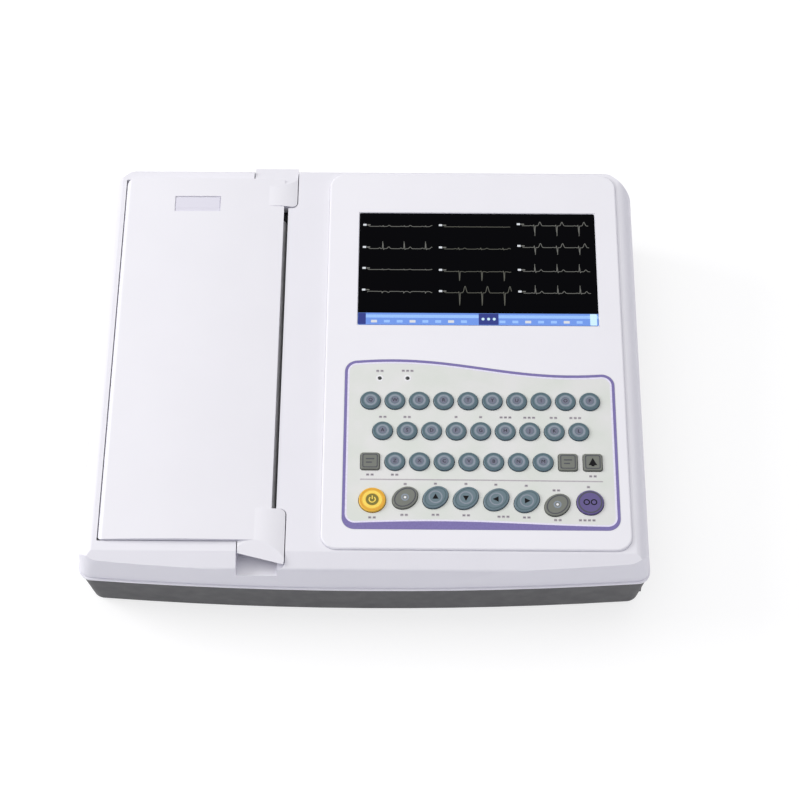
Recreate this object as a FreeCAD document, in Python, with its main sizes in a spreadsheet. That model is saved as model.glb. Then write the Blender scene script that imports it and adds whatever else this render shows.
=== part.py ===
import FreeCAD, Part
import math
import os
import re

# Desktop twelve-channel ECG recorder, millimetres.
# World frame: +X to the operator's right, +Y to the back, +Z up, origin under the
# middle of the bounding box, on the table.
# Deck frame: the wedge-shaped top, tilted up to the back.  Its x is the world's x,
# its y runs up the slope, and its z stands square on the deck, with zero on the
# face of the display panel.

doc = FreeCAD.newDocument("EcgRecorder")

# ---------------------------------------------------------------- driving dimensions
DIMENSIONS = [
    # the deck plane
    ("tilt", 3.0, "slope of the deck, degrees"),
    ("deck_y", 22.8, "world y of the deck frame's origin"),
    ("deck_z", 77.0, "world z of the deck frame's origin"),
    ("deck_drop", 1.6, "deck surface below the display panel's face"),
    # the upper shell
    ("half_width", 174.0, "half the width at the seam between the shells"),
    ("half_depth", 147.0, "half the depth at the seam"),
    ("bow", 6.0, "bow of the front in plan"),
    ("seam_z", 41.5, "height of the seam between the shells"),
    ("wall", 3.0, "wall of both shells"),
    ("deck_edge", 163.5, "where the deck turns into the side shoulder"),
    ("shoulder_x", 172.0, "outer end of the shoulder's curve"),
    ("shoulder_drop", 13.0, "depth of the shoulder's curve"),
    ("side_draft", 0.07, "sideways growth of the side walls for each mm down"),
    ("deck_front", -157.8, "front end of the flat deck"),
    ("lip_front", -168.9, "front end of the sloping lip"),
    ("lip_drop", 4.9, "lip's front edge below the display panel's face"),
    ("deck_rear", 118.0, "rear end of the flat deck"),
    ("corner_front", 8.0, "plan radius of the front corners at the seam"),
    ("corner_rear", 15.0, "plan radius of the rear corners at the seam"),
    ("crown_front", 24.0, "plan radius the front corners grow to just above the deck"),
    ("crown_rear", 37.5, "plan radius the rear corners grow to just above the deck"),
    ("crown_z", 85.0, "height where they have grown to that"),
    ("bead_out", 0.9, "how far the bead over the seam stands out in front"),
    ("bead_high", 1.5, "height of that bead"),
    # the lower shell
    ("floor_z", 2.5, "underside of the lower shell"),
    ("foot_inset", 6.7, "how far the lower shell's front slants in to its underside"),
    ("foot_side", 3.0, "how far its two sides slant in"),
    ("tub_gap", 0.3, "lower shell stands in from the upper one at the seam"),
    ("tub_rear", 144.4, "rear face of the lower shell"),
    ("socket_wall", 172.4, "upright connector wall on the right"),
    ("socket_front", -127.0, "front end of the connector wall"),
    ("socket_rear", 120.0, "rear end of the connector wall"),
    # display panel
    ("panel_left", -26.4, "left edge of the display panel"),
    ("panel_right", 161.5, "right edge of the display panel"),
    ("panel_front", -156.6, "front edge of the display panel"),
    ("panel_rear", 116.4, "rear edge of the display panel"),
    ("panel_corner", 10.0, "corner radius of the display panel"),
    ("panel_thick", 3.5, "thickness of the display panel"),
    ("screen_left", -6.9, "left edge of the screen window"),
    ("screen_width", 154.1, "width of the screen window"),
    ("screen_height", 86.2, "height of the screen window"),
    ("screen_sink", 0.6, "glass below the panel's face"),
    ("screen_gap", 0.2, "gap round the glass"),
    # keypad
    ("film_left", -14.0, "left edge of the keypad film"),
    ("film_right", 155.0, "right edge of the keypad film"),
    ("film_front", -143.6, "front edge of the keypad film"),
    ("film_mean", -30.4, "mean line of the film's wavy rear edge"),
    ("film_wave", 5.45, "amplitude of that wave"),
    ("film_crest", 16.7, "x of the wave's crest"),
    ("film_half_wave", 111.0, "crest to trough"),
    ("film_corner", 8.0, "corner radius of the film"),
    ("film_thick", 0.6, "thickness of the film"),
    ("key_pitch", 15.14, "pitch of the letter keys"),
    ("key_dia", 12.4, "diameter of a letter key"),
    ("key_square", 11.6, "width of a square key"),
    ("oval_pitch", 18.46, "pitch of the oval keys"),
    ("oval_long", 16.9, "long axis of an oval key"),
    ("oval_short", 13.5, "short axis of an oval key"),
    ("oval_turn", 42.0, "turn of the oval's long axis, degrees"),
    ("big_key_dia", 16.4, "diameter of the two big keys"),
    ("key_rise", 1.3, "key's top above the film"),
    ("key_gap", 0.35, "gap between a key and its hole"),
    ("key_skirt", 0.7, "skirt's width round a key, under the panel"),
    ("key_skirt_top", -4.0, "top of the skirt"),
    ("key_skirt_thick", 0.9, "thickness of the skirt"),
    # paper cover
    ("lid_left", -160.6, "left edge of the paper cover"),
    ("lid_right", -56.3, "right edge of the paper cover"),
    ("lid_front", -151.1, "front edge of the paper cover"),
    ("lid_rear", 111.6, "rear edge of the paper cover"),
    ("lid_thick", 2.5, "thickness of the cover's plate"),
    ("lid_crown", 1.3, "rise of the crown in the middle"),
    ("lid_gap", 0.35, "gap round the cover"),
    ("barrel", 3.6, "radius of the hinge barrel"),
    ("pin_radius", 1.1, "radius of the hinge pins"),
    ("pin_reach", 3.0, "length of a hinge pin"),
    ("pin_play", 0.05, "running clearance of pins and shafts"),
    ("ear_x", -62.0, "middle of the cover's two lifting ears"),
    ("ear_half", 14.2, "half the width of an ear"),
    ("ear_crest", 0.5, "crest of an ear's arched back above the panel's face"),
    ("ear_shoulder", -1.5, "height of the arch at its two sides"),
    ("ear_floor", -7.5, "underside of an ear"),
    ("ear_lip", -2.7, "height of the front ear's lip, where the underside is cut away"),
    ("ear_slant", 17.0, "pitch of an ear's slanted end, degrees"),
    ("ear_twist", -14.5, "turn in plan of the front ear's end, degrees"),
    ("ear_lean", 35.0, "lean of the cut below the lip, degrees from the vertical"),
    ("ear_slant_front", -151.8, "where the front ear's slanted end starts, on its crest"),
    ("ear_slant_rear", 106.0, "where the rear ear's slanted end starts, on its crest"),
    ("ear_inner_front", -130.0, "inner end of the front ear"),
    ("ear_inner_rear", 90.7, "inner end of the rear ear"),
    ("ear_end_rear", 123.5, "outer end of the rear ear"),
    ("ear_corner", 3.4, "plan radius of an ear's inner corner"),
    ("ear_tip", 4.4, "plan radius of the front ear's tip"),
    ("ear_tip_y", -163.4, "middle of that radius"),
    ("ear_gap", 0.6, "gap round an ear"),
    ("scoop_floor", -14.0, "floor of the finger scoop under the front ear"),
    ("platen_axis", -11.0, "height of the platen's axis"),
    ("slot_right", -53.5, "right edge of the paper slot"),
    # printer
    ("platen_radius", 7.5, "radius of the rubber platen"),
    ("platen_front", -128.0, "front end of the rubber"),
    ("platen_rear", 83.0, "rear end of the rubber"),
    ("shaft_radius", 3.0, "radius of the platen's shaft"),
    ("gear_module", 0.6, "module of the drive gears"),
    ("platen_teeth", 24, "teeth of the platen's gear"),
    ("drive_teeth", 32, "teeth of the drive gear"),
    ("gear_start", 84.2, "front face of both gears"),
    ("gear_width", 5.0, "face width of both gears"),
    ("motor_size", 32.0, "side of the stepper motor"),
    ("motor_start", 97.0, "front face of the motor"),
    ("motor_length", 17.0, "length of the motor"),
    ("motor_shaft", 1.5, "radius of the motor's shaft"),
    ("bay_front", -134.5, "front end of the printer bay"),
    ("bay_rear", 95.5, "rear end of the printer bay"),
    ("tray_depth", 52.0, "underside of the paper tray below the panel's face"),
    ("tray_wall", 2.0, "wall of the paper tray"),
    ("mech_left", -77.0, "wall between the paper and the mechanism"),
    ("mech_depth", 40.0, "floor of the mechanism's bay below the panel's face"),
]

sheet = doc.addObject("Spreadsheet::Sheet", "Dims")
for row, (alias, value, note) in enumerate(DIMENSIONS, start=1):
    sheet.set("A%d" % row, alias)
    sheet.set("B%d" % row, str(value))
    sheet.setAlias("B%d" % row, alias)
    sheet.set("C%d" % row, note)
doc.recompute()

ALIASES = [alias for alias, value, note in DIMENSIONS]


def dim(alias):
    """A driving dimension's value."""
    return float(sheet.get(alias))


def formula(text):
    """The sheet's expression for a formula written with bare aliases."""
    return re.sub(r"[a-z_]+", lambda word: "Dims." + word.group()
                  if word.group() in ALIASES else word.group(), str(text))


def bind(item, **properties):
    """Bind an object's properties to formulas; px, py and pz place it."""
    places = {"px": "Placement.Base.x", "py": "Placement.Base.y", "pz": "Placement.Base.z"}
    for name, text in properties.items():
        item.setExpression(places.get(name, name), formula(text))
    return item


DECK = FreeCAD.Placement(FreeCAD.Vector(0, dim("deck_y"), dim("deck_z")),
                         FreeCAD.Rotation(FreeCAD.Vector(1, 0, 0), dim("tilt")))
NODES = []


def node(item, name, place=None):
    """Name a finished sub-part, and put it in the world frame."""
    item.Label = name
    if place is not None:
        item.Placement = place
    NODES.append(item)
    return item


# ---------------------------------------------------------------- small tools
def box(name, px, py, pz, length, width, height):
    """A box by its lowest corner and its three sizes, each a formula."""
    return bind(doc.addObject("Part::Box", name), Length=length, Width=width,
                Height=height, px=px, py=py, pz=pz)


def rod(name, along, radius, height, px, py, pz):
    """A cylinder that starts at a point and runs along +x, +y or +z."""
    item = doc.addObject("Part::Cylinder", name)
    turns = {"x": FreeCAD.Rotation(FreeCAD.Vector(0, 1, 0), 90),
             "y": FreeCAD.Rotation(FreeCAD.Vector(1, 0, 0), -90),
             "z": FreeCAD.Rotation()}
    item.Placement = FreeCAD.Placement(FreeCAD.Vector(), turns[along])
    return bind(item, Radius=radius, Height=height, px=px, py=py, pz=pz)


def fuse(name, *items):
    item = doc.addObject("Part::MultiFuse", name)
    item.Shapes = list(items)
    return item


def common(name, *items):
    item = doc.addObject("Part::MultiCommon", name)
    item.Shapes = list(items)
    return item


def cut(name, base, *tools):
    item = doc.addObject("Part::Cut", name)
    item.Base = base
    item.Tool = tools[0] if len(tools) == 1 else fuse(name + "_tools", *tools)
    return item


def chain(start, *legs):
    """Closed chain of edges.  A leg is an end point, or (through, end) for an arc."""
    edges = []
    here = FreeCAD.Vector(start[0], start[1], 0)
    for leg in list(legs) + [start]:
        curved = isinstance(leg[0], tuple)
        end = FreeCAD.Vector(*(leg[1] if curved else leg), 0)
        if (end - here).Length < 1e-7:
            continue
        if curved:
            edges.append(Part.Arc(here, FreeCAD.Vector(*leg[0], 0), end))
        else:
            edges.append(Part.LineSegment(here, end))
        here = end
    return edges


PLANES = {
    "plan": FreeCAD.Rotation(),                                        # x, y -> +z
    "front": FreeCAD.Rotation(FreeCAD.Vector(1, 0, 0), 90),            # x, z -> -y
    "side": FreeCAD.Rotation(FreeCAD.Vector(1, 1, 1), 120),            # y, z -> +x
}


def sketch(name, edges, plane="plan", start=(0, 0, 0)):
    """A sketch of the given edges on one of the three planes."""
    item = doc.addObject("Sketcher::SketchObject", name)
    item.addGeometry(edges)
    item.Placement = FreeCAD.Placement(FreeCAD.Vector(*start), PLANES[plane])
    return item


def pull(name, edges, plane, start, length):
    """Extrude a sketch square to its plane, by a formula's length."""
    item = doc.addObject("Part::Extrusion", name)
    item.Base = sketch(name + "_sketch", edges, plane, start)
    item.DirMode = "Normal"
    item.Solid = True
    return bind(item, LengthFwd=length)


def rounded(left, right, front, rear, radii):
    """Rectangle in plan with its own radius at front-left, front-right, rear-right
    and rear-left."""
    keep = 1 - math.sqrt(0.5)
    fl, fr, rr, rl = radii
    legs = [(right - fr, front)]
    if fr:
        legs.append(((right - keep * fr, front + keep * fr), (right, front + fr)))
    legs.append((right, rear - rr))
    if rr:
        legs.append(((right - keep * rr, rear - keep * rr), (right - rr, rear)))
    legs.append((left + rl, rear))
    if rl:
        legs.append(((left + keep * rl, rear - keep * rl), (left, rear - rl)))
    legs.append((left, front + fl))
    if fl:
        legs.append(((left + keep * fl, front + keep * fl), (left + fl, front)))
    return chain((left + fl, front), *legs)


def bowed(half, front, rear, grow=0.0, corners="corner"):
    """Plan of a shell: straight sides and rear, bowed front, rounded corners.
    front is the middle of the bow; grow moves every side outwards."""
    keep = 1 - math.sqrt(0.5)
    side, back, tip = half + grow, rear + grow, front - grow
    near = tip + dim("bow")
    rf, rr = dim(corners + "_front") + grow, dim(corners + "_rear") + grow
    return chain((-side + rf, near), ((0, tip), (side - rf, near)),
                 ((side - keep * rf, near + keep * rf), (side, near + rf)),
                 (side, back - rr),
                 ((side - keep * rr, back - keep * rr), (side - rr, back)),
                 (-side + rr, back),
                 ((-side + keep * rr, back - keep * rr), (-side, back - rr)),
                 (-side, near + rf),
                 ((-side + keep * rf, near + keep * rf), (-side + rf, near)))


def taper(name, low, high):
    """Solid between two sketches of the same make, one above the other."""
    item = doc.addObject("Part::Loft", name)
    item.Sections = [low, high]
    item.Solid = True
    item.Ruled = True
    return item


# ---------------------------------------------------------------- upper shell
def upper_block(name, inset):
    """Solid of the upper shell's outside, or of its hollow when inset by the wall."""
    deep = 70.0                       # below the seam everywhere
    top = -dim("deck_drop") - inset
    drop = dim("shoulder_drop")
    edge, wide = dim("deck_edge") - inset, dim("shoulder_x") - inset
    low = wide + dim("side_draft") * (deep - drop)
    bulge = (wide - 0.29 * (wide - edge), top - 0.29 * (drop + top + inset))
    across = pull(name + "_across", chain(
        (-edge, top), ((-bulge[0], bulge[1]), (-wide, -drop)), (-low, -deep),
        (low, -deep), (wide, -drop), (bulge, (edge, top))),
        "front", (0, 200, 0), 400)
    lip, fall = dim("lip_front") + inset, -dim("lip_drop") - inset
    back = dim("deck_rear") - inset
    along = pull(name + "_along", chain(
        (dim("deck_front") + inset / 2, top), (lip + 1.6, fall + 0.35),
        ((lip + 0.45, fall - 0.45), (lip, fall - 1.5)),
        (lip - 8.0, -deep), (back + 5.4, -deep), (back + 4.0, -11 - inset),
        ((back + 2.8, top - 2.9), (back, top))), "side", (-200, 0, 0), 400)
    size = (dim("half_width"), -dim("half_depth"), dim("half_depth"), -inset)
    low = dim("seam_z") - inset / 6
    plan = taper(name + "_plan", sketch(name + "_seam", bowed(*size), "plan", (0, 0, low)),
                 sketch(name + "_crown", bowed(*size, "crown"), "plan",
                        (0, 0, dim("crown_z"))))
    across.Placement = DECK
    along.Placement = DECK
    return common(name, across, along, plan)


def cover_plan(grow, front_radius, rear_radius):
    """Plan of the paper cover, or of its recess when grown by the gap."""
    return rounded(dim("lid_left") - grow, dim("lid_right") + grow, dim("lid_front") - grow,
                   dim("lid_rear") + grow, (front_radius, 0, 0, rear_radius))


def ear_plan(in_front, grow=0.0):
    """Plan of an ear, or of its room when grown.  The outer end is left long, and only
    the corners next to the screen are round."""
    left = dim("ear_x") - dim("ear_half") - grow
    right = dim("ear_x") + dim("ear_half") + grow
    keep = 1 - math.sqrt(0.5)
    turn = dim("ear_corner") + grow
    if not in_front:
        inner, end = dim("ear_inner_rear") - grow, dim("ear_inner_rear") + 60
        return chain((left, inner), (right - turn, inner),
                     ((right - keep * turn, inner + keep * turn), (right, inner + turn)),
                     (right, end), (left, end))
    inner, end = dim("ear_inner_front") + grow, dim("ear_inner_front") - 60
    tip, middle = dim("ear_tip") + grow, dim("ear_tip_y")
    return chain((left, end), (right - tip, end), (right - tip, middle - tip),
                 ((right - keep * tip, middle - tip + keep * tip), (right, middle)),
                 (right, inner - turn),
                 ((right - keep * turn, inner - keep * turn), (right - turn, inner)),
                 (left, inner))


def film_plan(grow=0.0):
    """Plan of the keypad film: three straight edges and a wavy rear one."""
    left, right = dim("film_left") - grow, dim("film_right") + grow
    front, radius = dim("film_front") - grow, dim("film_corner") + grow
    keep = 1 - math.sqrt(0.5)

    def wave(place):
        phase = math.pi * (place - dim("film_crest")) / dim("film_half_wave")
        return dim("film_mean") + dim("film_wave") * math.cos(phase) + grow

    steps = 12
    start, end = left + radius, right - radius
    points = [FreeCAD.Vector(x, wave(x), 0)
              for x in (start + (end - start) * i / steps for i in range(steps + 1))]
    rear = Part.BSplineCurve()
    rear.interpolate(points)
    low_left, low_right = points[0].y - radius, points[-1].y - radius
    edges = chain(
        (start, points[0].y), ((left + keep * radius, points[0].y - keep * radius),
                               (left, low_left)),
        (left, front + radius), ((left + keep * radius, front + keep * radius),
                                 (left + radius, front)),
        (right - radius, front), ((right - keep * radius, front + keep * radius),
                                  (right, front + radius)),
        (right, low_right), ((right - keep * radius, points[-1].y - keep * radius),
                             (end, points[-1].y)))
    return edges[:-1] + [rear]


def make_upper_shell():
    bead = pull("SeamBead", bowed(dim("half_width"), -dim("half_depth") - dim("bead_out"), 60),
                "plan", (0, 0, dim("seam_z")), "bead_high")
    outside = fuse("UpperOutside", upper_block("UpperBody", 0.0), bead)
    hollow = upper_block("UpperHollow", dim("wall"))
    shell = cut("UpperWalls", outside, hollow)

    # solid stock for the hinge bosses and for the pans under the two ears
    stock = [box("BossFront", "lid_left - 2", "lid_front - lid_gap - 6", "-8",
                 10, 6, "8 - deck_drop"),
             box("BossRear", "lid_left - 2", "lid_rear + lid_gap", "-8",
                 10, "deck_rear - lid_rear - lid_gap", "8 - deck_drop"),
             box("PanFront", "ear_x - ear_half - 3", "lip_front", "-10.5",
                 "2 * ear_half + 6", "bay_front - lip_front", "8.8"),
             box("PanRear", "ear_x - ear_half - 3", "bay_rear", "-10.5",
                 "2 * ear_half + 6", "deck_rear + 6 - bay_rear", "8.8"),
             box("ScoopWalls", "ear_x - ear_half - 2.8", "lip_front", "scoop_floor - 2.2",
                 "2 * ear_half + 1", 21, 8)]
    block = fuse("UpperStock", *stock)
    block.Placement = DECK
    bounded = common("UpperStockInside", block, upper_block("UpperBound", 0.0))
    solid = fuse("UpperSolid", shell, bounded)

    lip = dim("lip_front")
    tools = [
        # its corners are tighter than the cover's, which sweep into them as it opens
        pull("CoverRecess", cover_plan(dim("lid_gap"), 0.5, 0.5), "plan",
             (0, 0, -dim("lid_thick") - dim("lid_gap")), 20),
        box("BarrelGroove", "lid_left - lid_gap", "lid_front - lid_gap", "-2 * barrel - 4",
            "2 * barrel + 1.1", "lid_rear - lid_front + 2 * lid_gap",
            "2 * barrel + 4 - lid_thick - lid_gap + 0.1"),
        box("PrinterBay", "lid_left - lid_gap", "bay_front", -30,
            "slot_right - lid_left + lid_gap", "bay_rear - bay_front", 40),
        pull("EarRoomFront", ear_plan(True, dim("ear_gap")), "plan",
             (0, 0, dim("ear_floor") - 0.7), 30),
        pull("EarRoomRear", ear_plan(False, dim("ear_gap")), "plan",
             (0, 0, dim("ear_floor") - 0.7), 30),
        pull("FingerScoop", chain((lip - 3, -7.5), (lip - 3, -10.5),
                                  ((lip + 5, -12.9), (lip + 13, dim("scoop_floor"))),
                                  (lip + 18.5, dim("scoop_floor")), (lip + 18.5, -7.5)),
             "side", (dim("ear_x") - dim("ear_half") - dim("ear_gap"), 0, 0),
             "2 * ear_half - ear_tip + ear_gap"),
        rod("HingeBoreFront", "y", "pin_radius + pin_play", "pin_reach + 1",
            "lid_left + barrel", "lid_front - pin_reach - 0.6", "-barrel"),
        rod("HingeBoreRear", "y", "pin_radius + pin_play", "pin_reach + 6",
            "lid_left + barrel", "lid_rear + 0.5 - 5.5", "-barrel"),
        pull("PanelPocket", rounded(dim("panel_left") - 0.1, dim("panel_right") + 0.1,
                                    dim("panel_front") - 0.1, dim("panel_rear") + 0.1,
                                    [dim("panel_corner") + 0.1] * 4),
             "plan", (0, 0, -dim("panel_thick")), 20),
        box("ScreenOpening", "screen_left - 7", "-8", -20, "screen_width + 14", 104, 20),
        box("KeypadOpening", "film_left + 2", "film_front + 3.6", -20,
            "film_right - film_left - 5", 97, 20),
    ]
    away = fuse("UpperTools", *tools)
    away.Placement = DECK
    node(cut("UpperShell", solid, away), "top_case")


# ---------------------------------------------------------------- lower shell
def tub_block(name, grow, low):
    """Solid of the lower shell's outside, or of its hollow when grow is negative."""
    front = -dim("half_depth") + dim("tub_gap")
    half = dim("half_width") - dim("tub_gap")
    foot = sketch(name + "_foot", bowed(half - dim("foot_side"), front + dim("foot_inset"),
                                        dim("tub_rear"), grow), "plan", (0, 0, low))
    seam = sketch(name + "_seam", bowed(half, front, dim("tub_rear"), grow),
                  "plan", (0, 0, dim("seam_z")))
    body = taper(name + "_taper", foot, seam)
    wall = box(name + "_socket_wall", 150, "socket_front - %g" % grow, low,
               "socket_wall - 150 + %g" % grow,
               "socket_rear - socket_front + 2 * %g" % grow, "seam_z - %g" % low)
    return fuse(name, body, wall)


# name, x, y of the feet and of the board's pillars
FEET = [(-140, -112), (140, -112), (-140, 118), (140, 118)]
PILLARS = [(-36, -112), (134, -112), (-36, 8), (134, 8)]
# power entry module on the rear wall, equipotential post beside it
ENTRY_X, ENTRY_Z = 104.0, 22.0
POST_X, POST_Z = 58.0, 22.0
# connectors on the right-hand wall: y of their middles, and their height
LEADS_Y, LEADS_Z = -62.0, 23.0
PORTS_Y, PORTS_Z = 20.0, 21.0
# battery bay in the floor
BATTERY_LEFT, BATTERY_FRONT, BATTERY_LONG, BATTERY_DEEP = -46.0, 50.0, 110.0, 80.0


def make_lower_shell():
    outside = tub_block("TubOutside", 0.0, dim("floor_z"))
    hollow = tub_block("TubHollow", -dim("wall"), dim("floor_z") + dim("wall"))
    shell = cut("TubWalls", outside, hollow)
    added = [rod("BoardPillar%d" % i, "z", 4, 7, x, y, 5)
             for i, (x, y) in enumerate(PILLARS)]
    added.append(box("PostCup", POST_X - 12, "tub_rear - 16", POST_Z - 12, 24, 16, 24))
    solid = fuse("TubSolid", shell, *added)
    tools = [rod("FootSeat%d" % i, "z", 7.2, 2, x, y, "floor_z - 0.5")
             for i, (x, y) in enumerate(FEET)]
    tools += [
        box("PostRecess", POST_X - 10, "tub_rear - 14", POST_Z - 10, 20, 20, 20),
        rod("PostHole", "y", 3.05, 6, POST_X, "tub_rear - 18", POST_Z),
        box("EntryOpening", ENTRY_X - 25, "tub_rear - 6", ENTRY_Z - 12.2, 50, 12, 24.4),
        box("LeadsOpening", "socket_wall - 5", LEADS_Y - 14.5, LEADS_Z - 6.5, 10, 29, 13),
        box("NetworkOpening", "socket_wall - 5", PORTS_Y - 22, PORTS_Z - 7.3, 10, 16.4, 14.2),
        box("UsbOpeningA", "socket_wall - 5", PORTS_Y + 2, PORTS_Z - 7.3, 10, 14, 11),
        box("UsbOpeningB", "socket_wall - 5", PORTS_Y + 22, PORTS_Z - 7.3, 10, 14, 11),
        box("BatteryOpening", BATTERY_LEFT, BATTERY_FRONT, 0, BATTERY_LONG, BATTERY_DEEP, 10),
    ]
    for i in range(9):
        tools.append(box("VentSlot%d" % i, -30 + 6 * i, "tub_rear - 5", 14, 2.5, 10, 18))
    for i in range(8):
        tools.append(box("SideVent%d" % i, -180, 40 + 8 * i, 16, 20, 3, 16))
    node(cut("LowerShell", solid, *tools), "bottom_case")

    node(fuse("Feet", *[rod("Foot%d" % i, "z", 7, 4, x, y, 0)
                        for i, (x, y) in enumerate(FEET)]), "rubber_feet")

    door = fuse("DoorSolid",
                box("DoorPlate", BATTERY_LEFT + 0.3, BATTERY_FRONT + 0.3, "floor_z",
                    BATTERY_LONG - 0.6, BATTERY_DEEP - 0.6, "wall"),
                box("DoorLip", BATTERY_LEFT - 4, BATTERY_FRONT + 0.3, "floor_z + wall",
                    BATTERY_LONG + 8, BATTERY_DEEP - 0.6, 1.5))
    grips = [box("DoorGrip%d" % i, BATTERY_LEFT + 6, BATTERY_FRONT + 22 + 6 * i,
                 "floor_z - 1", 12, 3, 2) for i in range(6)]
    node(cut("BatteryDoor", door, *grips), "battery_door")


# ---------------------------------------------------------------- display panel
# key rows: name, first x, y, how many, which of them are square
ROWS = [("a", 2.6, -55.0, 10, ()), ("b", 10.3, -76.3, 9, ()), ("c", 2.9, -97.6, 10, (0, 8, 9))]
OVAL_X = 24.5
OVAL_Y = (-122.5, -122.1, -122.5, -123.3, -124.3, -126.7)
POWER_KEY = (4.6, -124.1)
PRINT_KEY = (136.7, -125.0)
LAMPS = [(8.1, -38.8), (25.5, -38.7)]


def key_places():
    """Every key as name, kind, x and y."""
    places = []
    for row, first, y, count, squares in ROWS:
        for i in range(count):
            kind = "square" if i in squares else "round"
            places.append(("key_%s%02d" % (row, i + 1), kind, first + i * dim("key_pitch"), y))
    places.append(("key_power", "big") + POWER_KEY)
    for i, y in enumerate(OVAL_Y):
        places.append(("key_d%02d" % (i + 1), "oval", OVAL_X + i * dim("oval_pitch"), y))
    places.append(("key_print", "big") + PRINT_KEY)
    return places


def key_outline(kind, grow):
    """One key's closed outline round its own middle."""
    if kind == "square":
        half = dim("key_square") / 2 + grow
        return rounded(-half, half, -half, half, [1.6 + max(grow, 0)] * 4)
    if kind == "oval":
        middle = FreeCAD.Vector()
        turn = math.radians(dim("oval_turn"))
        ends = []
        for reach, angle in ((dim("oval_long") / 2, turn), (dim("oval_short") / 2,
                                                            turn + math.pi / 2)):
            ends.append(FreeCAD.Vector(math.cos(angle), math.sin(angle), 0) * (reach + grow))
        return [Part.Ellipse(ends[0], ends[1], middle)]
    radius = dim("big_key_dia" if kind == "big" else "key_dia") / 2
    return [Part.Circle(FreeCAD.Vector(), FreeCAD.Vector(0, 0, 1), radius + grow)]


def key_holes(name, low, height):
    """Cutting tools for all keys, from a height up."""
    holes = []
    for key, kind, x, y in key_places():
        holes.append(pull("%s_%s" % (name, key), key_outline(kind, dim("key_gap")),
                          "plan", (x, y, low), height))
    for i, (x, y) in enumerate(LAMPS):
        holes.append(rod("%s_lamp%d" % (name, i), "z", 1.25, height, x, y, low))
    return holes


def make_panel():
    plate = pull("PanelPlate", rounded(dim("panel_left"), dim("panel_right"),
                                       dim("panel_front"), dim("panel_rear"),
                                       [dim("panel_corner")] * 4),
                 "plan", (0, 0, -dim("panel_thick")), "panel_thick")
    doc.recompute()
    soft = doc.addObject("Part::Fillet", "PanelSoftEdge")
    soft.Base = plate
    soft.Edges = [(i + 1, 1.3, 1.3) for i, edge in enumerate(plate.Shape.Edges)
                  if edge.BoundBox.ZMin > -0.001]
    window = box("ScreenWindow", "screen_left", 0, "-panel_thick - 1",
                 "screen_width", "screen_height", 10)
    bed = pull("FilmBed", film_plan(), "plan", (0, 0, -dim("film_thick")), 5)
    node(cut("Panel", soft, window, bed, *key_holes("PanelHole", -5, 10)),
         "control_panel", DECK)

    film = pull("Film", film_plan(-0.05), "plan", (0, 0, -dim("film_thick")), "film_thick")
    node(cut("KeypadFilm", film, *key_holes("FilmHole", -2, 4)), "keypad_overlay", DECK)

    glass = box("ScreenGlass", "screen_left + screen_gap", "screen_gap", "-panel_thick",
                "screen_width - 2 * screen_gap", "screen_height - 2 * screen_gap",
                "panel_thick - screen_sink")
    module = box("ScreenModule", "screen_left - 6", "-6", "-panel_thick - 5",
                 "screen_width + 12", 98, 5)
    node(fuse("Screen", glass, module), "lcd_display", DECK)

    board = box("KeyBoardPlate", "film_left + 4", "film_front + 6", -8,
                "film_right - film_left - 9", 92, 1.6)
    pegs = [rod("KeyBoardPeg%d" % i, "z", 2, 2.9, x, y, -6.4)
            for i, (x, y) in enumerate([(-6.5, -65), (148, -76), (-6.5, -110), (148, -110)])]
    node(fuse("KeyBoard", board, *pegs), "key_board", DECK)


def make_key(name, kind, x, y):
    """A key: cap with a softened top edge, on a wider skirt that holds it in."""
    body = doc.addObject("PartDesign::Body", name)
    plane = [item for item in body.Origin.OriginFeatures if item.Role == "XY_Plane"][0]
    features = []
    for label, grow, low, height in (
            ("skirt", dim("key_skirt"), "key_skirt_top - key_skirt_thick", "key_skirt_thick"),
            ("cap", 0.0, "key_skirt_top - 0.2", "key_rise - key_skirt_top + 0.2")):
        drawing = body.newObject("Sketcher::SketchObject", "%s_%s_sketch" % (name, label))
        drawing.AttachmentSupport = [(plane, "")]
        drawing.MapMode = "FlatFace"
        drawing.addGeometry(key_outline(kind, grow))
        drawing.setExpression("AttachmentOffset.Base.z", formula(low))
        pad = body.newObject("PartDesign::Pad", "%s_%s" % (name, label))
        pad.Profile = drawing
        bind(pad, Length=height)
        features.append(pad)
    doc.recompute()
    top = dim("key_rise")
    soft = body.newObject("PartDesign::Fillet", name + "_edge")
    soft.Base = (features[-1], ["Edge%d" % (i + 1)
                                for i, edge in enumerate(features[-1].Shape.Edges)
                                if edge.BoundBox.ZMin > top - 0.001])
    soft.Radius = 0.6
    body.Tip = soft
    node(body, name, DECK.multiply(FreeCAD.Placement(FreeCAD.Vector(x, y, 0),
                                                     FreeCAD.Rotation())))


# ---------------------------------------------------------------- paper cover
def ear(name, start, end, slant, turn):
    """Lifting ear: an arched bar along the slope, its outer end planed off at a slant
    that starts on the crest and is turned in plan."""
    x, side, floor, low = (dim(alias) for alias in ("ear_x", "ear_half", "ear_floor",
                                                    "ear_shoulder"))
    bar = pull(name + "_bar", chain(
        (x - side, floor), (x - side, low), ((x, dim("ear_crest")), (x + side, low)),
        (x + side, floor)), "front", (0, end, 0), end - start)
    in_front = slant < 0
    plan = pull(name + "_plan", ear_plan(in_front), "plan", (0, 0, floor - 1), 20)
    heading = turn + (180 if in_front else 0)
    knives = [knife(name + "_knife", (x, slant, dim("ear_crest")), heading, dim("ear_slant"))]
    if in_front:
        reach = (dim("ear_crest") - dim("ear_lip")) / math.tan(math.radians(dim("ear_slant")))
        knives.append(knife(name + "_undercut", (x, slant - reach, dim("ear_lip")), heading,
                            90 + dim("ear_lean")))
    return cut(name, common(name + "_round", bar, plan), *knives)


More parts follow.
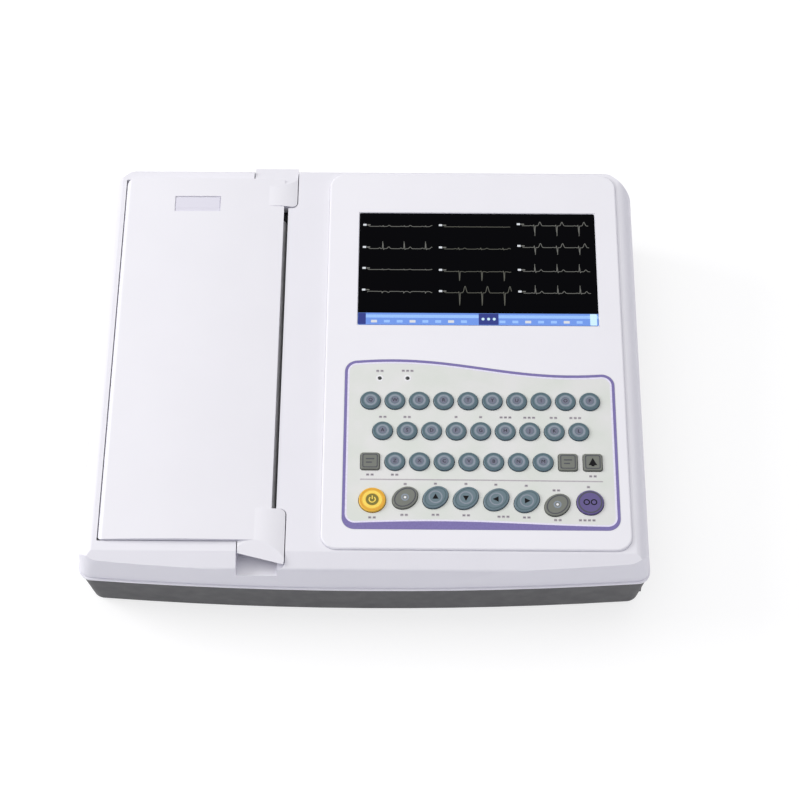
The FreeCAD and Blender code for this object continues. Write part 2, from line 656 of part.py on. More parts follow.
def knife(name, at, heading, pitch):
    """Big block above a plane through a point.  The plane falls away along the heading,
    0 for rearward, by the pitch."""
    block = bind(doc.addObject("Part::Box", name), Length=120, Width=80, Height=60)
    aim = FreeCAD.Rotation(FreeCAD.Vector(0, 0, 1), heading).multiply(
        FreeCAD.Rotation(FreeCAD.Vector(1, 0, 0), -pitch))
    block.Placement = FreeCAD.Placement(
        FreeCAD.Vector(*at) + aim.multVec(FreeCAD.Vector(-60, -20, 0)), aim)
    return block


def make_cover():
    left, right, thick = dim("lid_left"), dim("lid_right"), dim("lid_thick")
    radius = dim("barrel")
    axis = left + radius
    reach = math.sqrt(radius ** 2 - (radius - thick) ** 2)
    diagonal = radius * math.sqrt(0.5)
    length = dim("lid_rear") - dim("lid_front")
    plate = pull("CoverSection", chain(
        (axis, 0), (((axis + right) / 2, dim("lid_crown")), (right, -0.2)),
        (right, -thick), (axis + reach, -thick),
        ((axis - diagonal, -radius - diagonal), (axis, 0))),
        "front", (0, dim("lid_rear"), 0), length)
    bounded = common("CoverPlate", plate,
                     pull("CoverPlan", cover_plan(0.0, 3, 5), "plan", (0, 0, -20), 40))
    front_ear = ear("EarFront", -172, dim("ear_inner_front"), dim("ear_slant_front"),
                    dim("ear_twist"))
    rear_ear = ear("EarRear", dim("ear_inner_rear"), dim("ear_end_rear"),
                   dim("ear_slant_rear"), 0)
    # under the plate's rounded corners the barrel stops short, so that it can turn
    ends = [box("BarrelEndFront", "lid_left - 1", "lid_front - 1", "-2 * barrel - 1",
                "2 * barrel + 1.9", 4.2, "2 * barrel + 1 - lid_thick"),
            box("BarrelEndRear", "lid_left - 1", "lid_rear - 9.2", "-2 * barrel - 1",
                "2 * barrel + 1.9", 12, "2 * barrel + 1 - lid_thick")]
    solid = [cut("CoverPlateTrimmed", bounded, *ends), front_ear, rear_ear]
    for label, start in (("Front", dim("ear_inner_front") - 3), ("Rear", dim("ear_inner_rear"))):
        solid.append(box("Bearing" + label, "ear_x - 6", start, "platen_axis - 5.5", 12, 3,
                         "5.5 - platen_axis - lid_thick / 2"))
    solid.append(rod("HingePinFront", "y", "pin_radius", "pin_reach + 7",
                     "lid_left + barrel", "lid_front - pin_reach", "-barrel"))
    solid.append(rod("HingePinRear", "y", "pin_radius", "pin_reach + 14",
                     "lid_left + barrel", "lid_rear - 14", "-barrel"))
    for i in range(3):
        solid.append(box("CoverRib%d" % i, "lid_left + 14", -100 + 70 * i,
                         "-lid_thick - 3", 64, 2, 4))
    whole = fuse("CoverSolid", *solid)
    bore = rod("BearingBore", "y", "shaft_radius + pin_play",
               "ear_inner_rear - ear_inner_front + 7", "ear_x", "ear_inner_front - 3.5",
               "platen_axis")
    label = box("LabelRecess", -127.8, 85.4, 0.2, 30, 11.9, 5)
    node(cut("Cover", whole, bore, label), "paper_cover", DECK)


# ---------------------------------------------------------------- printer
def gear_edges(teeth, tip_play):
    """Spur gear outline with involute flanks, one arc to each flank."""
    module = dim("gear_module")
    pressure = math.radians(20)
    pitch = module * teeth / 2
    base = pitch * math.cos(pressure)
    root, tip = pitch - 1.25 * module, pitch + module - tip_play
    backlash = 0.16
    half = (math.pi * module / 2 - backlash) / 2 / pitch

    def flank(radius):
        """Half the tooth's angle at a radius."""
        lean = math.acos(min(1.0, base / radius))
        spread = math.tan(lean) - lean
        return half + math.tan(pressure) - pressure - spread

    def polar(radius, angle):
        return (radius * math.cos(angle), radius * math.sin(angle))

    step = 2 * math.pi / teeth
    middle = (root + tip) / 2
    legs = []
    for i in range(teeth):
        here = i * step
        legs += [(polar(middle, here - flank(middle)), polar(tip, here - flank(tip))),
                 (polar(tip, here), polar(tip, here + flank(tip))),
                 (polar(middle, here + flank(middle)), polar(root, here + flank(root))),
                 (polar(root, here + step / 2), polar(root, here + step - flank(root)))]
    return chain(polar(root, -flank(root)), *legs)


def hinge_to_platen():
    """Unit vector along which the platen leaves the drive gear as the cover opens."""
    across = dim("ear_x") - dim("lid_left") - dim("barrel")
    up = dim("platen_axis") + dim("barrel")
    return -up / math.hypot(across, up), across / math.hypot(across, up)


def gear(name, teeth, turn, x, z):
    """A gear's blank about its own middle, turned so that the two are in mesh."""
    item = pull(name, gear_edges(teeth, 0.05), "front", (0, 0, 0), "gear_width")
    spin = FreeCAD.Rotation(FreeCAD.Vector(0, 1, 0), -turn)
    item.Base.Placement = FreeCAD.Placement(
        FreeCAD.Vector(x, dim("gear_start") + dim("gear_width"), z),
        spin.multiply(PLANES["front"]))
    return item


def make_printer():
    ux, uz = hinge_to_platen()
    x, z = dim("ear_x"), dim("platen_axis")
    centres = dim("gear_module") * (dim("platen_teeth") + dim("drive_teeth")) / 2
    drive_x, drive_z = x - ux * centres, z - uz * centres
    toward = math.degrees(math.atan2(-uz, -ux))
    shaft_end = dim("ear_inner_rear") + 2.8

    shaft = rod("PlatenShaft", "y", "shaft_radius", "%g - ear_inner_front + 2.8" % shaft_end,
                "ear_x", "ear_inner_front - 2.8", "platen_axis")
    rubber = rod("PlatenRubber", "y", "platen_radius", "platen_rear - platen_front",
                 "ear_x", "platen_front", "platen_axis")
    node(fuse("Platen", shaft, rubber), "platen_roller", DECK)

    wheel = gear("PlatenGearBlank", int(dim("platen_teeth")), toward, x, z)
    node(cut("PlatenGear", wheel, rod("PlatenGearBore", "y", "shaft_radius", 12, x,
                                      "gear_start - 3", z)), "platen_gear", DECK)

    half_tooth = 180.0 / dim("drive_teeth")
    driver = gear("DriveGearBlank", int(dim("drive_teeth")), toward + 180 + half_tooth,
                  drive_x, drive_z)
    spindle = rod("DriveSpindle", "y", "motor_shaft", "motor_start + 8 - gear_start",
                  drive_x, "gear_start", drive_z)
    node(fuse("DriveGear", driver, spindle), "drive_gear", DECK)

    side = dim("motor_size")
    body = pull("MotorBody", rounded(drive_x - side / 2, drive_x + side / 2,
                                     drive_z - side / 2, drive_z + side / 2, [4] * 4),
                "front", (0, dim("motor_start") + dim("motor_length"), 0), "motor_length")
    bore = rod("MotorBore", "y", "motor_shaft + pin_play", 9.5, drive_x,
               "motor_start - 1", drive_z)
    node(cut("Motor", body, bore), "paper_motor", DECK)

    make_tray(drive_x, drive_z)

    head_top = z - dim("platen_radius") - 0.3
    deep = dim("mech_depth")
    sink = box("HeadSink", "ear_x - 10", "platen_front", -deep, 18, "platen_rear - platen_front",
               head_top - 4 + deep)
    strip = box("HeadStrip", "ear_x - 11", "platen_front", head_top - 4, 20,
                "platen_rear - platen_front", 3.2)
    line = box("HeadLine", "ear_x - 1", "platen_front + 2", head_top - 1,
               2, "platen_rear - platen_front - 4", 1)
    fins = [box("HeadFin%d" % i, "ear_x - 10.5", -120 + 12.5 * i, -deep + 4, 19, 5, 10)
            for i in range(16)]
    node(cut("PrintHead", fuse("HeadSolid", sink, strip, line), *fins), "print_head", DECK)


def make_tray(drive_x, drive_z):
    """Printer chassis: paper bay on the left, mechanism on the right, one moulding."""
    wall = "tray_wall"
    left, right = -150.5, -54.0
    outer = fuse("TraySolid",
                 box("TrayOuter", left, "bay_front + 0.5", "-tray_depth", right - left,
                     "bay_rear - bay_front - 1", "tray_depth - 8"),
                 box("TrayRim", left, "bay_front + 0.5", -10, "mech_left - %g" % left,
                     "bay_rear - bay_front - 1", 6.6),
                 box("TrayFlange", "lid_left - 1.5", "lid_front + 1", -9.8, 14,
                     "lid_rear - lid_front - 12", 1.6))
    paper = box("PaperRoom", "%g + tray_wall" % left, "bay_front + 0.5 + tray_wall",
                "-tray_depth + tray_wall", "mech_left - tray_wall - %g - tray_wall" % left,
                "bay_rear - bay_front - 1 - 2 * tray_wall", 80)
    mech = box("MechRoom", "mech_left", "bay_front + 0.5 + tray_wall", "-mech_depth",
               40, "bay_rear - bay_front - 1 - 2 * tray_wall", 80)
    clear = box("PlatenRoom", "mech_left", "bay_front - 1", -17.5, 40,
                "bay_rear - bay_front + 2", 40)
    hole = rod("SpindleHole", "y", "motor_shaft + 1.5", 10, drive_x, "bay_rear - 6", drive_z)
    below = box("UnderMech", "mech_left", "bay_front - 1", "-tray_depth - 1", 40,
                "bay_rear - bay_front + 2", "tray_depth + 1 - mech_depth - tray_wall")
    guide = rod("PaperGuide", "y", 2.2, "ear_inner_rear - ear_inner_front - 3",
                "mech_left - tray_wall / 2", "ear_inner_front + 1.5", -5.4)
    node(fuse("Tray", cut("TrayRooms", outer, paper, mech, clear, hole, below), guide),
         "paper_tray", DECK)


# ---------------------------------------------------------------- electrics
def make_electrics():
    board = box("MainBoardPlate", -42, -118, 12, 182, 132, 1.6)
    chips = [box("Chip%d" % i, x, y, 13.6, a, b, c) for i, (x, y, a, b, c) in enumerate([
        (-30, -100, 28, 28, 2), (20, -95, 18, 18, 1.6), (60, -100, 40, 22, 8),
        (120, -90, 16, 46, 10), (-20, -40, 50, 14, 6), (50, -50, 22, 22, 4),
        (95, -30, 34, 26, 12), (0, -10, 60, 8, 7)])]
    node(fuse("MainBoard", board, *chips), "main_board")

    can = box("SupplyCan", 60, 24, 8, 80, 84, 32)
    vents = [box("SupplyVent%d" % i, 66 + 9 * i, 34, 38.5, 4, 64, 3) for i in range(8)]
    base = box("SupplyFeet", 72, 28, "floor_z + wall", 64, 76, 8 - 5.5)
    node(cut("Supply", fuse("SupplySolid", can, base), *vents), "power_supply")

    node(box("Battery", BATTERY_LEFT + 6, BATTERY_FRONT + 5, "floor_z + wall + 1.7",
             BATTERY_LONG - 12, BATTERY_DEEP - 10, 26), "battery_pack")

    make_entry()
    make_sockets()

    post = fuse("Post",
                rod("PostStud", "y", 3.0, 17, POST_X, "tub_rear - 18", POST_Z),
                rod("PostCollar", "y", 6.0, 2, POST_X, "tub_rear - 14", POST_Z))
    doc.recompute()
    node(post, "ground_post")


ROCKER_X = ENTRY_X + 15.0
ROCKER_Y = 138.6
ROCKER_RADIUS = 9.0
ROCKER_WIDTH = 12.0
ROCKER_TILT = 9.0


def make_entry():
    """Mains inlet with its rocker switch, in one frame on the rear wall."""
    face = dim("tub_rear")
    frame = pull("EntryFrame", rounded(ENTRY_X - 28, ENTRY_X + 28, ENTRY_Z - 14.5,
                                       ENTRY_Z + 14.5, [3] * 4), "front",
                 (0, face + 2.4, 0), 2.4)
    body = box("EntryBody", ENTRY_X - 24.8, face - 26, ENTRY_Z - 12, 49.6, 27, 24)
    left, right = ENTRY_X - 22.2, ENTRY_X + 2.2
    low, high = ENTRY_Z - 8.2, ENTRY_Z + 8.2
    slant = 4.5
    socket = pull("InletSocket", chain((left + slant, high), (left, high - slant), (left, low),
                                       (right, low), (right, high - slant),
                                       (right - slant, high)), "front", (0, face + 4, 0), 20)
    seat = box("RockerSeat", ROCKER_X - ROCKER_WIDTH / 2 - 0.3, ROCKER_Y - ROCKER_RADIUS - 0.5,
               ENTRY_Z - ROCKER_RADIUS - 0.4, ROCKER_WIDTH + 0.6, 30,
               2 * ROCKER_RADIUS + 0.8)
    shell = cut("EntryHollow", fuse("EntrySolid", frame, body), socket, seat)
    middle = (left + right) / 2
    blades = [box("InletBlade%d" % i, middle + x - 1, face - 20, ENTRY_Z + z - 2, 2, 17, 4)
              for i, (x, z) in enumerate([(-7, -2.5), (0, 1.5), (7, -2.5)])]
    node(fuse("Entry", shell, *blades), "ac_inlet")

    # rocker: a slice of a round bar with two flats that meet at a shallow angle
    lean = math.tan(math.radians(ROCKER_TILT))
    reach = ROCKER_RADIUS + 3
    nose = 6.2
    section = chain((nose, 0), (nose - reach * lean, reach), (-reach, reach),
                    (-reach, -reach), (nose - reach * lean, -reach))
    wedge = pull("RockerWedge", section, "side", (-ROCKER_WIDTH / 2, 0, 0), ROCKER_WIDTH)
    bar = rod("RockerBar", "x", ROCKER_RADIUS, ROCKER_WIDTH, -ROCKER_WIDTH / 2, 0, 0)
    turn = FreeCAD.Rotation(FreeCAD.Vector(1, 0, 0), ROCKER_TILT)
    node(common("Rocker", wedge, bar), "power_switch",
         FreeCAD.Placement(FreeCAD.Vector(ROCKER_X, ROCKER_Y, ENTRY_Z), turn))


def make_sockets():
    """Lead-wire connector and data sockets behind the right-hand wall."""
    face = dim("socket_wall")
    inner = face - dim("wall")
    flange = box("LeadsFlange", inner - 2, LEADS_Y - 19.5, LEADS_Z - 6.3, 2, 39, 12.6)
    body = box("LeadsBody", inner - 14, LEADS_Y - 17, LEADS_Z - 5.5, 12.5, 34, 11)
    shell = pull("LeadsShell", chain((LEADS_Y - 12.5, LEADS_Z + 4.2),
                                     (LEADS_Y - 10.8, LEADS_Z - 4.2),
                                     (LEADS_Y + 10.8, LEADS_Z - 4.2),
                                     (LEADS_Y + 12.5, LEADS_Z + 4.2)),
                 "side", (inner - 1, 0, 0), face - inner + 2.2)
    pins = [rod("LeadsPin%d" % i, "x", 0.55, 8, face - 4.5, LEADS_Y + y, LEADS_Z + z)
            for i, (y, z) in enumerate([(-9.66 + 2.76 * k, 1.42) for k in range(8)]
                                       + [(-8.28 + 2.76 * k, -1.42) for k in range(7)])]
    node(cut("Leads", fuse("LeadsSolid", flange, body, shell), *pins), "patient_connector")

    card = box("PortsCard", inner - 24, PORTS_Y - 26, PORTS_Z - 8.6, 22, 66, 1.6)
    cans = [box("NetworkCan", inner - 20, PORTS_Y - 21.8, PORTS_Z - 7, 22, 16, 13.6),
            box("UsbCanA", inner - 16, PORTS_Y + 2.4, PORTS_Z - 7, 18, 13.2, 10.3),
            box("UsbCanB", inner - 16, PORTS_Y + 22.4, PORTS_Z - 7, 18, 13.2, 10.3)]
    rooms = [box("NetworkRoom", inner - 12, PORTS_Y - 19.7, PORTS_Z - 3.4, 22, 11.8, 8),
             box("UsbRoomA", inner - 10, PORTS_Y + 3, PORTS_Z - 3, 20, 12, 5.4),
             box("UsbRoomB", inner - 10, PORTS_Y + 23, PORTS_Z - 3, 20, 12, 5.4)]
    tongues = [box("UsbTongue" + side, inner - 11, PORTS_Y + y, PORTS_Z - 0.9, 10, 9, 1.6)
               for side, y in (("A", 4.5), ("B", 24.5))]
    node(fuse("Ports", cut("PortsRooms", fuse("PortsSolid", card, *cans), *rooms), *tongues),
         "data_ports")


# ---------------------------------------------------------------- build and write
make_upper_shell()
make_lower_shell()
make_panel()
for key in key_places():
    make_key(*key)
make_cover()
make_printer()
make_electrics()
doc.recompute()

faults = [item.Name for item in doc.Objects
          if "Invalid" in item.State or "Error" in item.State]
faults += [item.Label for item in NODES if item.Shape.isNull() or not item.Shape.isValid()]
if faults:
    raise SystemExit("failed: " + ", ".join(faults))

os.makedirs("parts", exist_ok=True)
for item in NODES:
    item.Shape.exportStep(os.path.join("parts", item.Label + ".step"))
    room = item.Shape.BoundBox
    print("%-18s %2d solid  x %7.1f %7.1f  y %7.1f %7.1f  z %6.1f %6.1f" % (
        item.Label, len(item.Shape.Solids), room.XMin, room.XMax, room.YMin, room.YMax,
        room.ZMin, room.ZMax))
print("%d nodes" % len(NODES))
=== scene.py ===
import math

import bmesh
import bpy
from mathutils import Matrix, Vector


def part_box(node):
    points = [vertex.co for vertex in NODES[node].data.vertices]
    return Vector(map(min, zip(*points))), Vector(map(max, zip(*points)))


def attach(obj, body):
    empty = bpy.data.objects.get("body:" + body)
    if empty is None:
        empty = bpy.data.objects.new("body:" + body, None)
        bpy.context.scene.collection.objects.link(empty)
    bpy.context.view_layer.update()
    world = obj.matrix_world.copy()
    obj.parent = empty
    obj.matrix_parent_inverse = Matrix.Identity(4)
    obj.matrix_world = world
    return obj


# Desktop ECG recorder.  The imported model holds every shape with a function; this
# script gives it its materials, prints and screen picture, the camera and the light.

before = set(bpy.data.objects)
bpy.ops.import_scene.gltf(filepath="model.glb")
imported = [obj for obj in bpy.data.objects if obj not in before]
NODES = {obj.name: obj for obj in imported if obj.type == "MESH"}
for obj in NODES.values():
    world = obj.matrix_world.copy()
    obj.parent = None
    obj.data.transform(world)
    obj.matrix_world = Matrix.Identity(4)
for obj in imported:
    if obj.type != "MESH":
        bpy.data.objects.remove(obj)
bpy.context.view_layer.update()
MM = 0.001

# The deck is the wedge-shaped top.  Deck coordinates are x across, y up the slope and
# z square to it, in millimetres, with z zero on the face of the display panel.
DECK_ORIGIN = (0, 0.0228, 0.077)
TILT = math.radians(3.0)
DECK = Matrix.Translation(DECK_ORIGIN) @ Matrix.Rotation(TILT, 4, "X")


def deck(x, y, z=0.0):
    """A deck point, in millimetres, as a world point."""
    return DECK @ (Vector((x, y, z)) * MM)


# ---------------------------------------------------------------- camera
CAMERA_AT = (27.5, -697.0, 1155.1)       # deck millimetres
CAMERA_TURN = (-0.59, 60.91, -0.15)      # yaw, pitch below the deck's plane and roll, degrees
CAMERA_LENS = 95.58                      # millimetres, on a sensor 36 mm wide


def place_camera():
    """Camera in deck coordinates: it stands in front and looks steeply down."""
    yaw, pitch, roll = (math.radians(a) for a in CAMERA_TURN)
    forward = Vector((math.sin(yaw) * math.cos(pitch), math.cos(yaw) * math.cos(pitch),
                      -math.sin(pitch)))
    right = Vector((math.cos(yaw), -math.sin(yaw), 0))
    up = right.cross(forward)
    side = right * math.cos(roll) + up * math.sin(roll)
    top = up * math.cos(roll) - right * math.sin(roll)
    turn = Matrix((side, top, -forward)).transposed()
    data = bpy.data.cameras.new("camera")
    data.lens = CAMERA_LENS
    data.sensor_width = 36.0
    data.clip_end = 20
    camera = bpy.data.objects.new("camera", data)
    camera.matrix_world = (Matrix.Translation(deck(*CAMERA_AT)) @ DECK.to_3x3().to_4x4()
                           @ turn.to_4x4())
    bpy.context.scene.collection.objects.link(camera)
    bpy.context.scene.camera = camera


# ---------------------------------------------------------------- materials
def srgb(red, green, blue):
    """Linear colour from 0-255 display values."""
    def linear(value):
        value /= 255.0
        return value / 12.92 if value <= 0.04045 else ((value + 0.055) / 1.055) ** 2.4
    return (linear(red), linear(green), linear(blue), 1.0)


def color_socket(sockets, name):
    """A Mix node has one socket of each name per data type: this is the colour one."""
    return [s for s in sockets if s.name == name and s.type == "RGBA"][0]


class Shader:
    """A node material built step by step round one Principled shader."""

    def __init__(self, name, color, rough, metal=0.0, **sockets):
        self.material = bpy.data.materials.new(name)
        self.material.use_nodes = True
        self.tree = self.material.node_tree
        self.main = self.tree.nodes["Principled BSDF"]
        self.main.inputs["Base Color"].default_value = color
        self.main.inputs["Roughness"].default_value = rough
        self.main.inputs["Metallic"].default_value = metal
        for socket, value in sockets.items():
            self.main.inputs[socket.replace("_", " ")].default_value = value
        self.place = self.node("ShaderNodeTexCoord").outputs["Object"]

    def node(self, kind, **values):
        item = self.tree.nodes.new(kind)
        for name, value in values.items():
            setattr(item, name, value)
        return item

    def link(self, source, target):
        self.tree.links.new(source, target)

    def noise(self, size_mm, detail=3.0):
        """Noise whose grains are about size_mm across."""
        item = self.node("ShaderNodeTexNoise")
        item.inputs["Scale"].default_value = 1.0 / (size_mm * MM)
        item.inputs["Detail"].default_value = detail
        self.link(self.place, item.inputs["Vector"])
        return item.outputs["Fac"]

    def ramp(self, source, low, high, first, last):
        """Map source from low..high to the range first..last."""
        item = self.node("ShaderNodeMapRange")
        for socket, value in (("From Min", low), ("From Max", high),
                              ("To Min", first), ("To Max", last)):
            item.inputs[socket].default_value = value
        self.link(source, item.inputs["Value"])
        return item.outputs["Result"]

    def mix(self, source, one, two):
        """Colour between one and two by a 0..1 source."""
        item = self.node("ShaderNodeMix", data_type="RGBA")
        self.link(source, item.inputs["Factor"])
        color_socket(item.inputs, "A").default_value = one
        color_socket(item.inputs, "B").default_value = two
        return color_socket(item.outputs, "Result")

    def color(self, source):
        self.link(source, self.main.inputs["Base Color"])

    def bump(self, source, depth_mm, strength=1.0):
        item = self.node("ShaderNodeBump")
        item.inputs["Distance"].default_value = depth_mm * MM
        item.inputs["Strength"].default_value = strength
        self.link(source, item.inputs["Height"])
        self.link(item.outputs["Normal"], self.main.inputs["Normal"])

    def rough(self, source):
        self.link(source, self.main.inputs["Roughness"])


def plastic(name, color, rough, grain_mm=0.5, grain_depth=0.02, shade=0.03, **sockets):
    """Moulded plastic: fine spark-eroded grain, faint blotches in colour and gloss."""
    shader = Shader(name, color, rough, **sockets)
    dark = tuple(c * (1 - shade) for c in color[:3]) + (1.0,)
    shader.color(shader.mix(shader.ramp(shader.noise(30), 0.35, 0.65, 0, 1), dark, color))
    shader.rough(shader.ramp(shader.noise(9), 0.3, 0.7, rough - 0.05, rough + 0.05))
    shader.bump(shader.noise(grain_mm, 2.0), grain_depth, 0.6)
    return shader.material


def metal(name, color, rough, streak=(1, 60, 60)):
    """Plated or drawn metal with fine streaks along one axis."""
    shader = Shader(name, color, rough, metal=1.0)
    stretch = shader.node("ShaderNodeMapping")
    stretch.inputs["Scale"].default_value = streak
    shader.link(shader.place, stretch.inputs["Vector"])
    grain = shader.node("ShaderNodeTexNoise")
    grain.inputs["Scale"].default_value = 60.0
    shader.link(stretch.outputs["Vector"], grain.inputs["Vector"])
    shader.rough(shader.ramp(grain.outputs["Fac"], 0.3, 0.7, rough - 0.08, rough + 0.12))
    shader.bump(grain.outputs["Fac"], 0.01, 0.4)
    return shader.material


def ink(name, color, rough=0.45, **sockets):
    """Screen-printed ink: slightly uneven density and gloss."""
    shader = Shader(name, color, rough, **sockets)
    thin = tuple(min(1.0, c * 1.12 + 0.006) for c in color[:3]) + (1.0,)
    shader.color(shader.mix(shader.ramp(shader.noise(1.2), 0.35, 0.7, 0, 1), color, thin))
    shader.rough(shader.ramp(shader.noise(0.8), 0.3, 0.7, rough - 0.06, rough + 0.06))
    return shader.material


def glow(name, color, strength):
    """Lit pixels: emission broken up by the display's fine dot rows."""
    shader = Shader(name, (0.0, 0.0, 0.0, 1.0), 0.3)
    shader.main.inputs["Emission Color"].default_value = color
    dots = shader.noise(0.35, 0.0)
    shader.link(shader.ramp(dots, 0.2, 0.8, strength * 0.9, strength * 1.1),
                shader.main.inputs["Emission Strength"])
    return shader.material


def platen_material():
    """Pale ground rubber with paper dust worked into it."""
    shader = Shader("platen_rubber", srgb(224, 224, 228), 0.75)
    shader.bump(shader.noise(0.4), 0.03, 0.7)
    shader.color(shader.mix(shader.ramp(shader.noise(5), 0.3, 0.7, 0, 1),
                            srgb(218, 218, 222), srgb(230, 230, 234)))
    return shader.material


def board_material():
    """Green solder mask with a faint weave of copper tracks under it."""
    shader = Shader("circuit_board", srgb(20, 92, 48), 0.35)
    tracks = shader.node("ShaderNodeTexBrick")
    tracks.inputs["Scale"].default_value = 160.0
    tracks.inputs["Mortar Size"].default_value = 0.03
    tracks.inputs["Color1"].default_value = srgb(18, 84, 44)
    tracks.inputs["Color2"].default_value = srgb(24, 98, 54)
    tracks.inputs["Mortar"].default_value = srgb(52, 130, 76)
    shader.link(shader.place, tracks.inputs["Vector"])
    shader.color(tracks.outputs["Color"])
    shader.bump(shader.noise(0.6), 0.02, 0.4)
    return shader.material


def film_material():
    """Printed polyester film: pale grey-green, lightly embossed, soft sheen."""
    shader = Shader("keypad_film", srgb(222, 223, 220), 0.45)
    blotch = shader.ramp(shader.noise(24), 0.35, 0.65, 0, 1)
    shader.color(shader.mix(blotch, srgb(218, 222, 216), srgb(226, 226, 225)))
    shader.bump(shader.noise(0.3, 1.0), 0.008, 0.6)
    shader.rough(shader.ramp(shader.noise(6), 0.3, 0.7, 0.38, 0.48))
    return shader.material


def make_materials():
    white = {"IOR": 1.49}
    return {
        "white": plastic("white_shell", srgb(233, 232, 239), 0.42, 0.45, 0.012, 0.012, **white),
        "panel": plastic("panel_white", srgb(239, 238, 244), 0.42, 0.45, 0.012, 0.012, **white),
        "cover": plastic("cover_white", srgb(235, 234, 240), 0.36, 0.5, 0.008, 0.01, **white),
        "grey": plastic("grey_shell", srgb(78, 78, 80), 0.55, 0.5, 0.03, 0.08,
                        Specular_IOR_Level=0.3),
        "black": plastic("black_plastic", srgb(34, 34, 36), 0.4, 0.4, 0.02, 0.06),
        "gloss_black": plastic("switch_black", srgb(28, 28, 30), 0.22, 0.8, 0.004, 0.04),
        "rubber": plastic("foot_rubber", srgb(38, 38, 39), 0.8, 0.3, 0.05, 0.12),
        "tray": plastic("tray_grey", srgb(204, 205, 210), 0.55, 0.5, 0.03, 0.05),
        "acetal": plastic("gear_acetal", srgb(40, 40, 43), 0.4, 0.6, 0.006, 0.06),
        "wrap": plastic("battery_wrap", srgb(44, 82, 130), 0.3, 1.5, 0.02, 0.08),
        "glass": plastic("screen_glass", srgb(5, 5, 8), 0.12, 2.0, 0.001, 0.02,
                         Specular_IOR_Level=0.02),
        "film": film_material(),
        "board": board_material(),
        "platen": platen_material(),
        "steel": metal("zinc_plate", srgb(170, 172, 176), 0.32),
        "nickel": metal("nickel_post", srgb(205, 200, 190), 0.22, (60, 1, 60)),
        "brass": metal("brass_gear", srgb(196, 164, 92), 0.3),
        "aluminium": metal("aluminium", srgb(188, 190, 194), 0.38, (60, 1, 60)),
        "key": plastic("key_blue_grey", srgb(92, 116, 128), 0.42, 0.35, 0.012, 0.06),
        "key_oval": plastic("key_teal_grey", srgb(104, 124, 134), 0.42, 0.35, 0.012, 0.06),
        "key_stone": plastic("key_stone", srgb(118, 121, 114), 0.45, 0.35, 0.012, 0.06),
        "key_yellow": plastic("key_yellow", srgb(236, 188, 64), 0.38, 0.35, 0.01, 0.04),
        "key_purple": plastic("key_purple", srgb(96, 84, 140), 0.4, 0.35, 0.01, 0.06),
        "ink_purple": ink("ink_purple", srgb(118, 108, 166)),
        "ink_lavender": ink("ink_lavender", srgb(226, 222, 240)),
        "ink_dark": ink("ink_dark", srgb(70, 72, 80)),
        "ink_grey": ink("ink_grey", srgb(176, 170, 176)),
        "ink_black": ink("ink_black", srgb(14, 14, 18), 0.6, Specular_IOR_Level=0.15),
        "ink_white": ink("ink_white", srgb(232, 232, 236)),
        "key_light": ink("key_light", srgb(134, 144, 156)),
        # dark teal ring: painted shade round the edge of each key
        "key_rim": ink("key_rim", srgb(76, 100, 108)),
        "key_core": ink("key_core", srgb(108, 112, 130)),
        "yellow_core": ink("yellow_core", srgb(250, 214, 90)),
        "yellow_rim": ink("yellow_rim", srgb(222, 160, 40)),
        "ink_olive": ink("ink_olive", srgb(120, 112, 40)),
        "trace": glow("trace_grey", srgb(150, 150, 144), 0.42),
        "trace_dim": glow("trace_dim", srgb(120, 120, 108), 0.42),
        "screen_white": glow("screen_white", srgb(226, 230, 236), 0.9),
        "bar_blue": glow("bar_blue", srgb(106, 148, 232), 1.0),
        "bar_light": glow("bar_light", srgb(150, 192, 252), 1.0),
        "bar_dark": glow("bar_dark", srgb(16, 40, 130), 1.0),
        "bar_cyan": glow("bar_cyan", srgb(206, 240, 254), 1.0),
        "lens": plastic("lamp_lens", srgb(46, 50, 52), 0.15, 1.0, 0.002, 0.05),
        "bezel": plastic("bezel_white", srgb(244, 244, 250), 0.35, 0.5, 0.006, 0.01),
        "plate": plastic("blank_plate", srgb(222, 220, 232), 0.4, 0.5, 0.006, 0.01),
        "silver_label": metal("silver_label", srgb(196, 198, 202), 0.4),
    }


MAT = make_materials()


def dress(node, key):
    """Give a CAD node its material."""
    mesh = NODES[node].data
    mesh.materials.clear()
    mesh.materials.append(MAT[key])


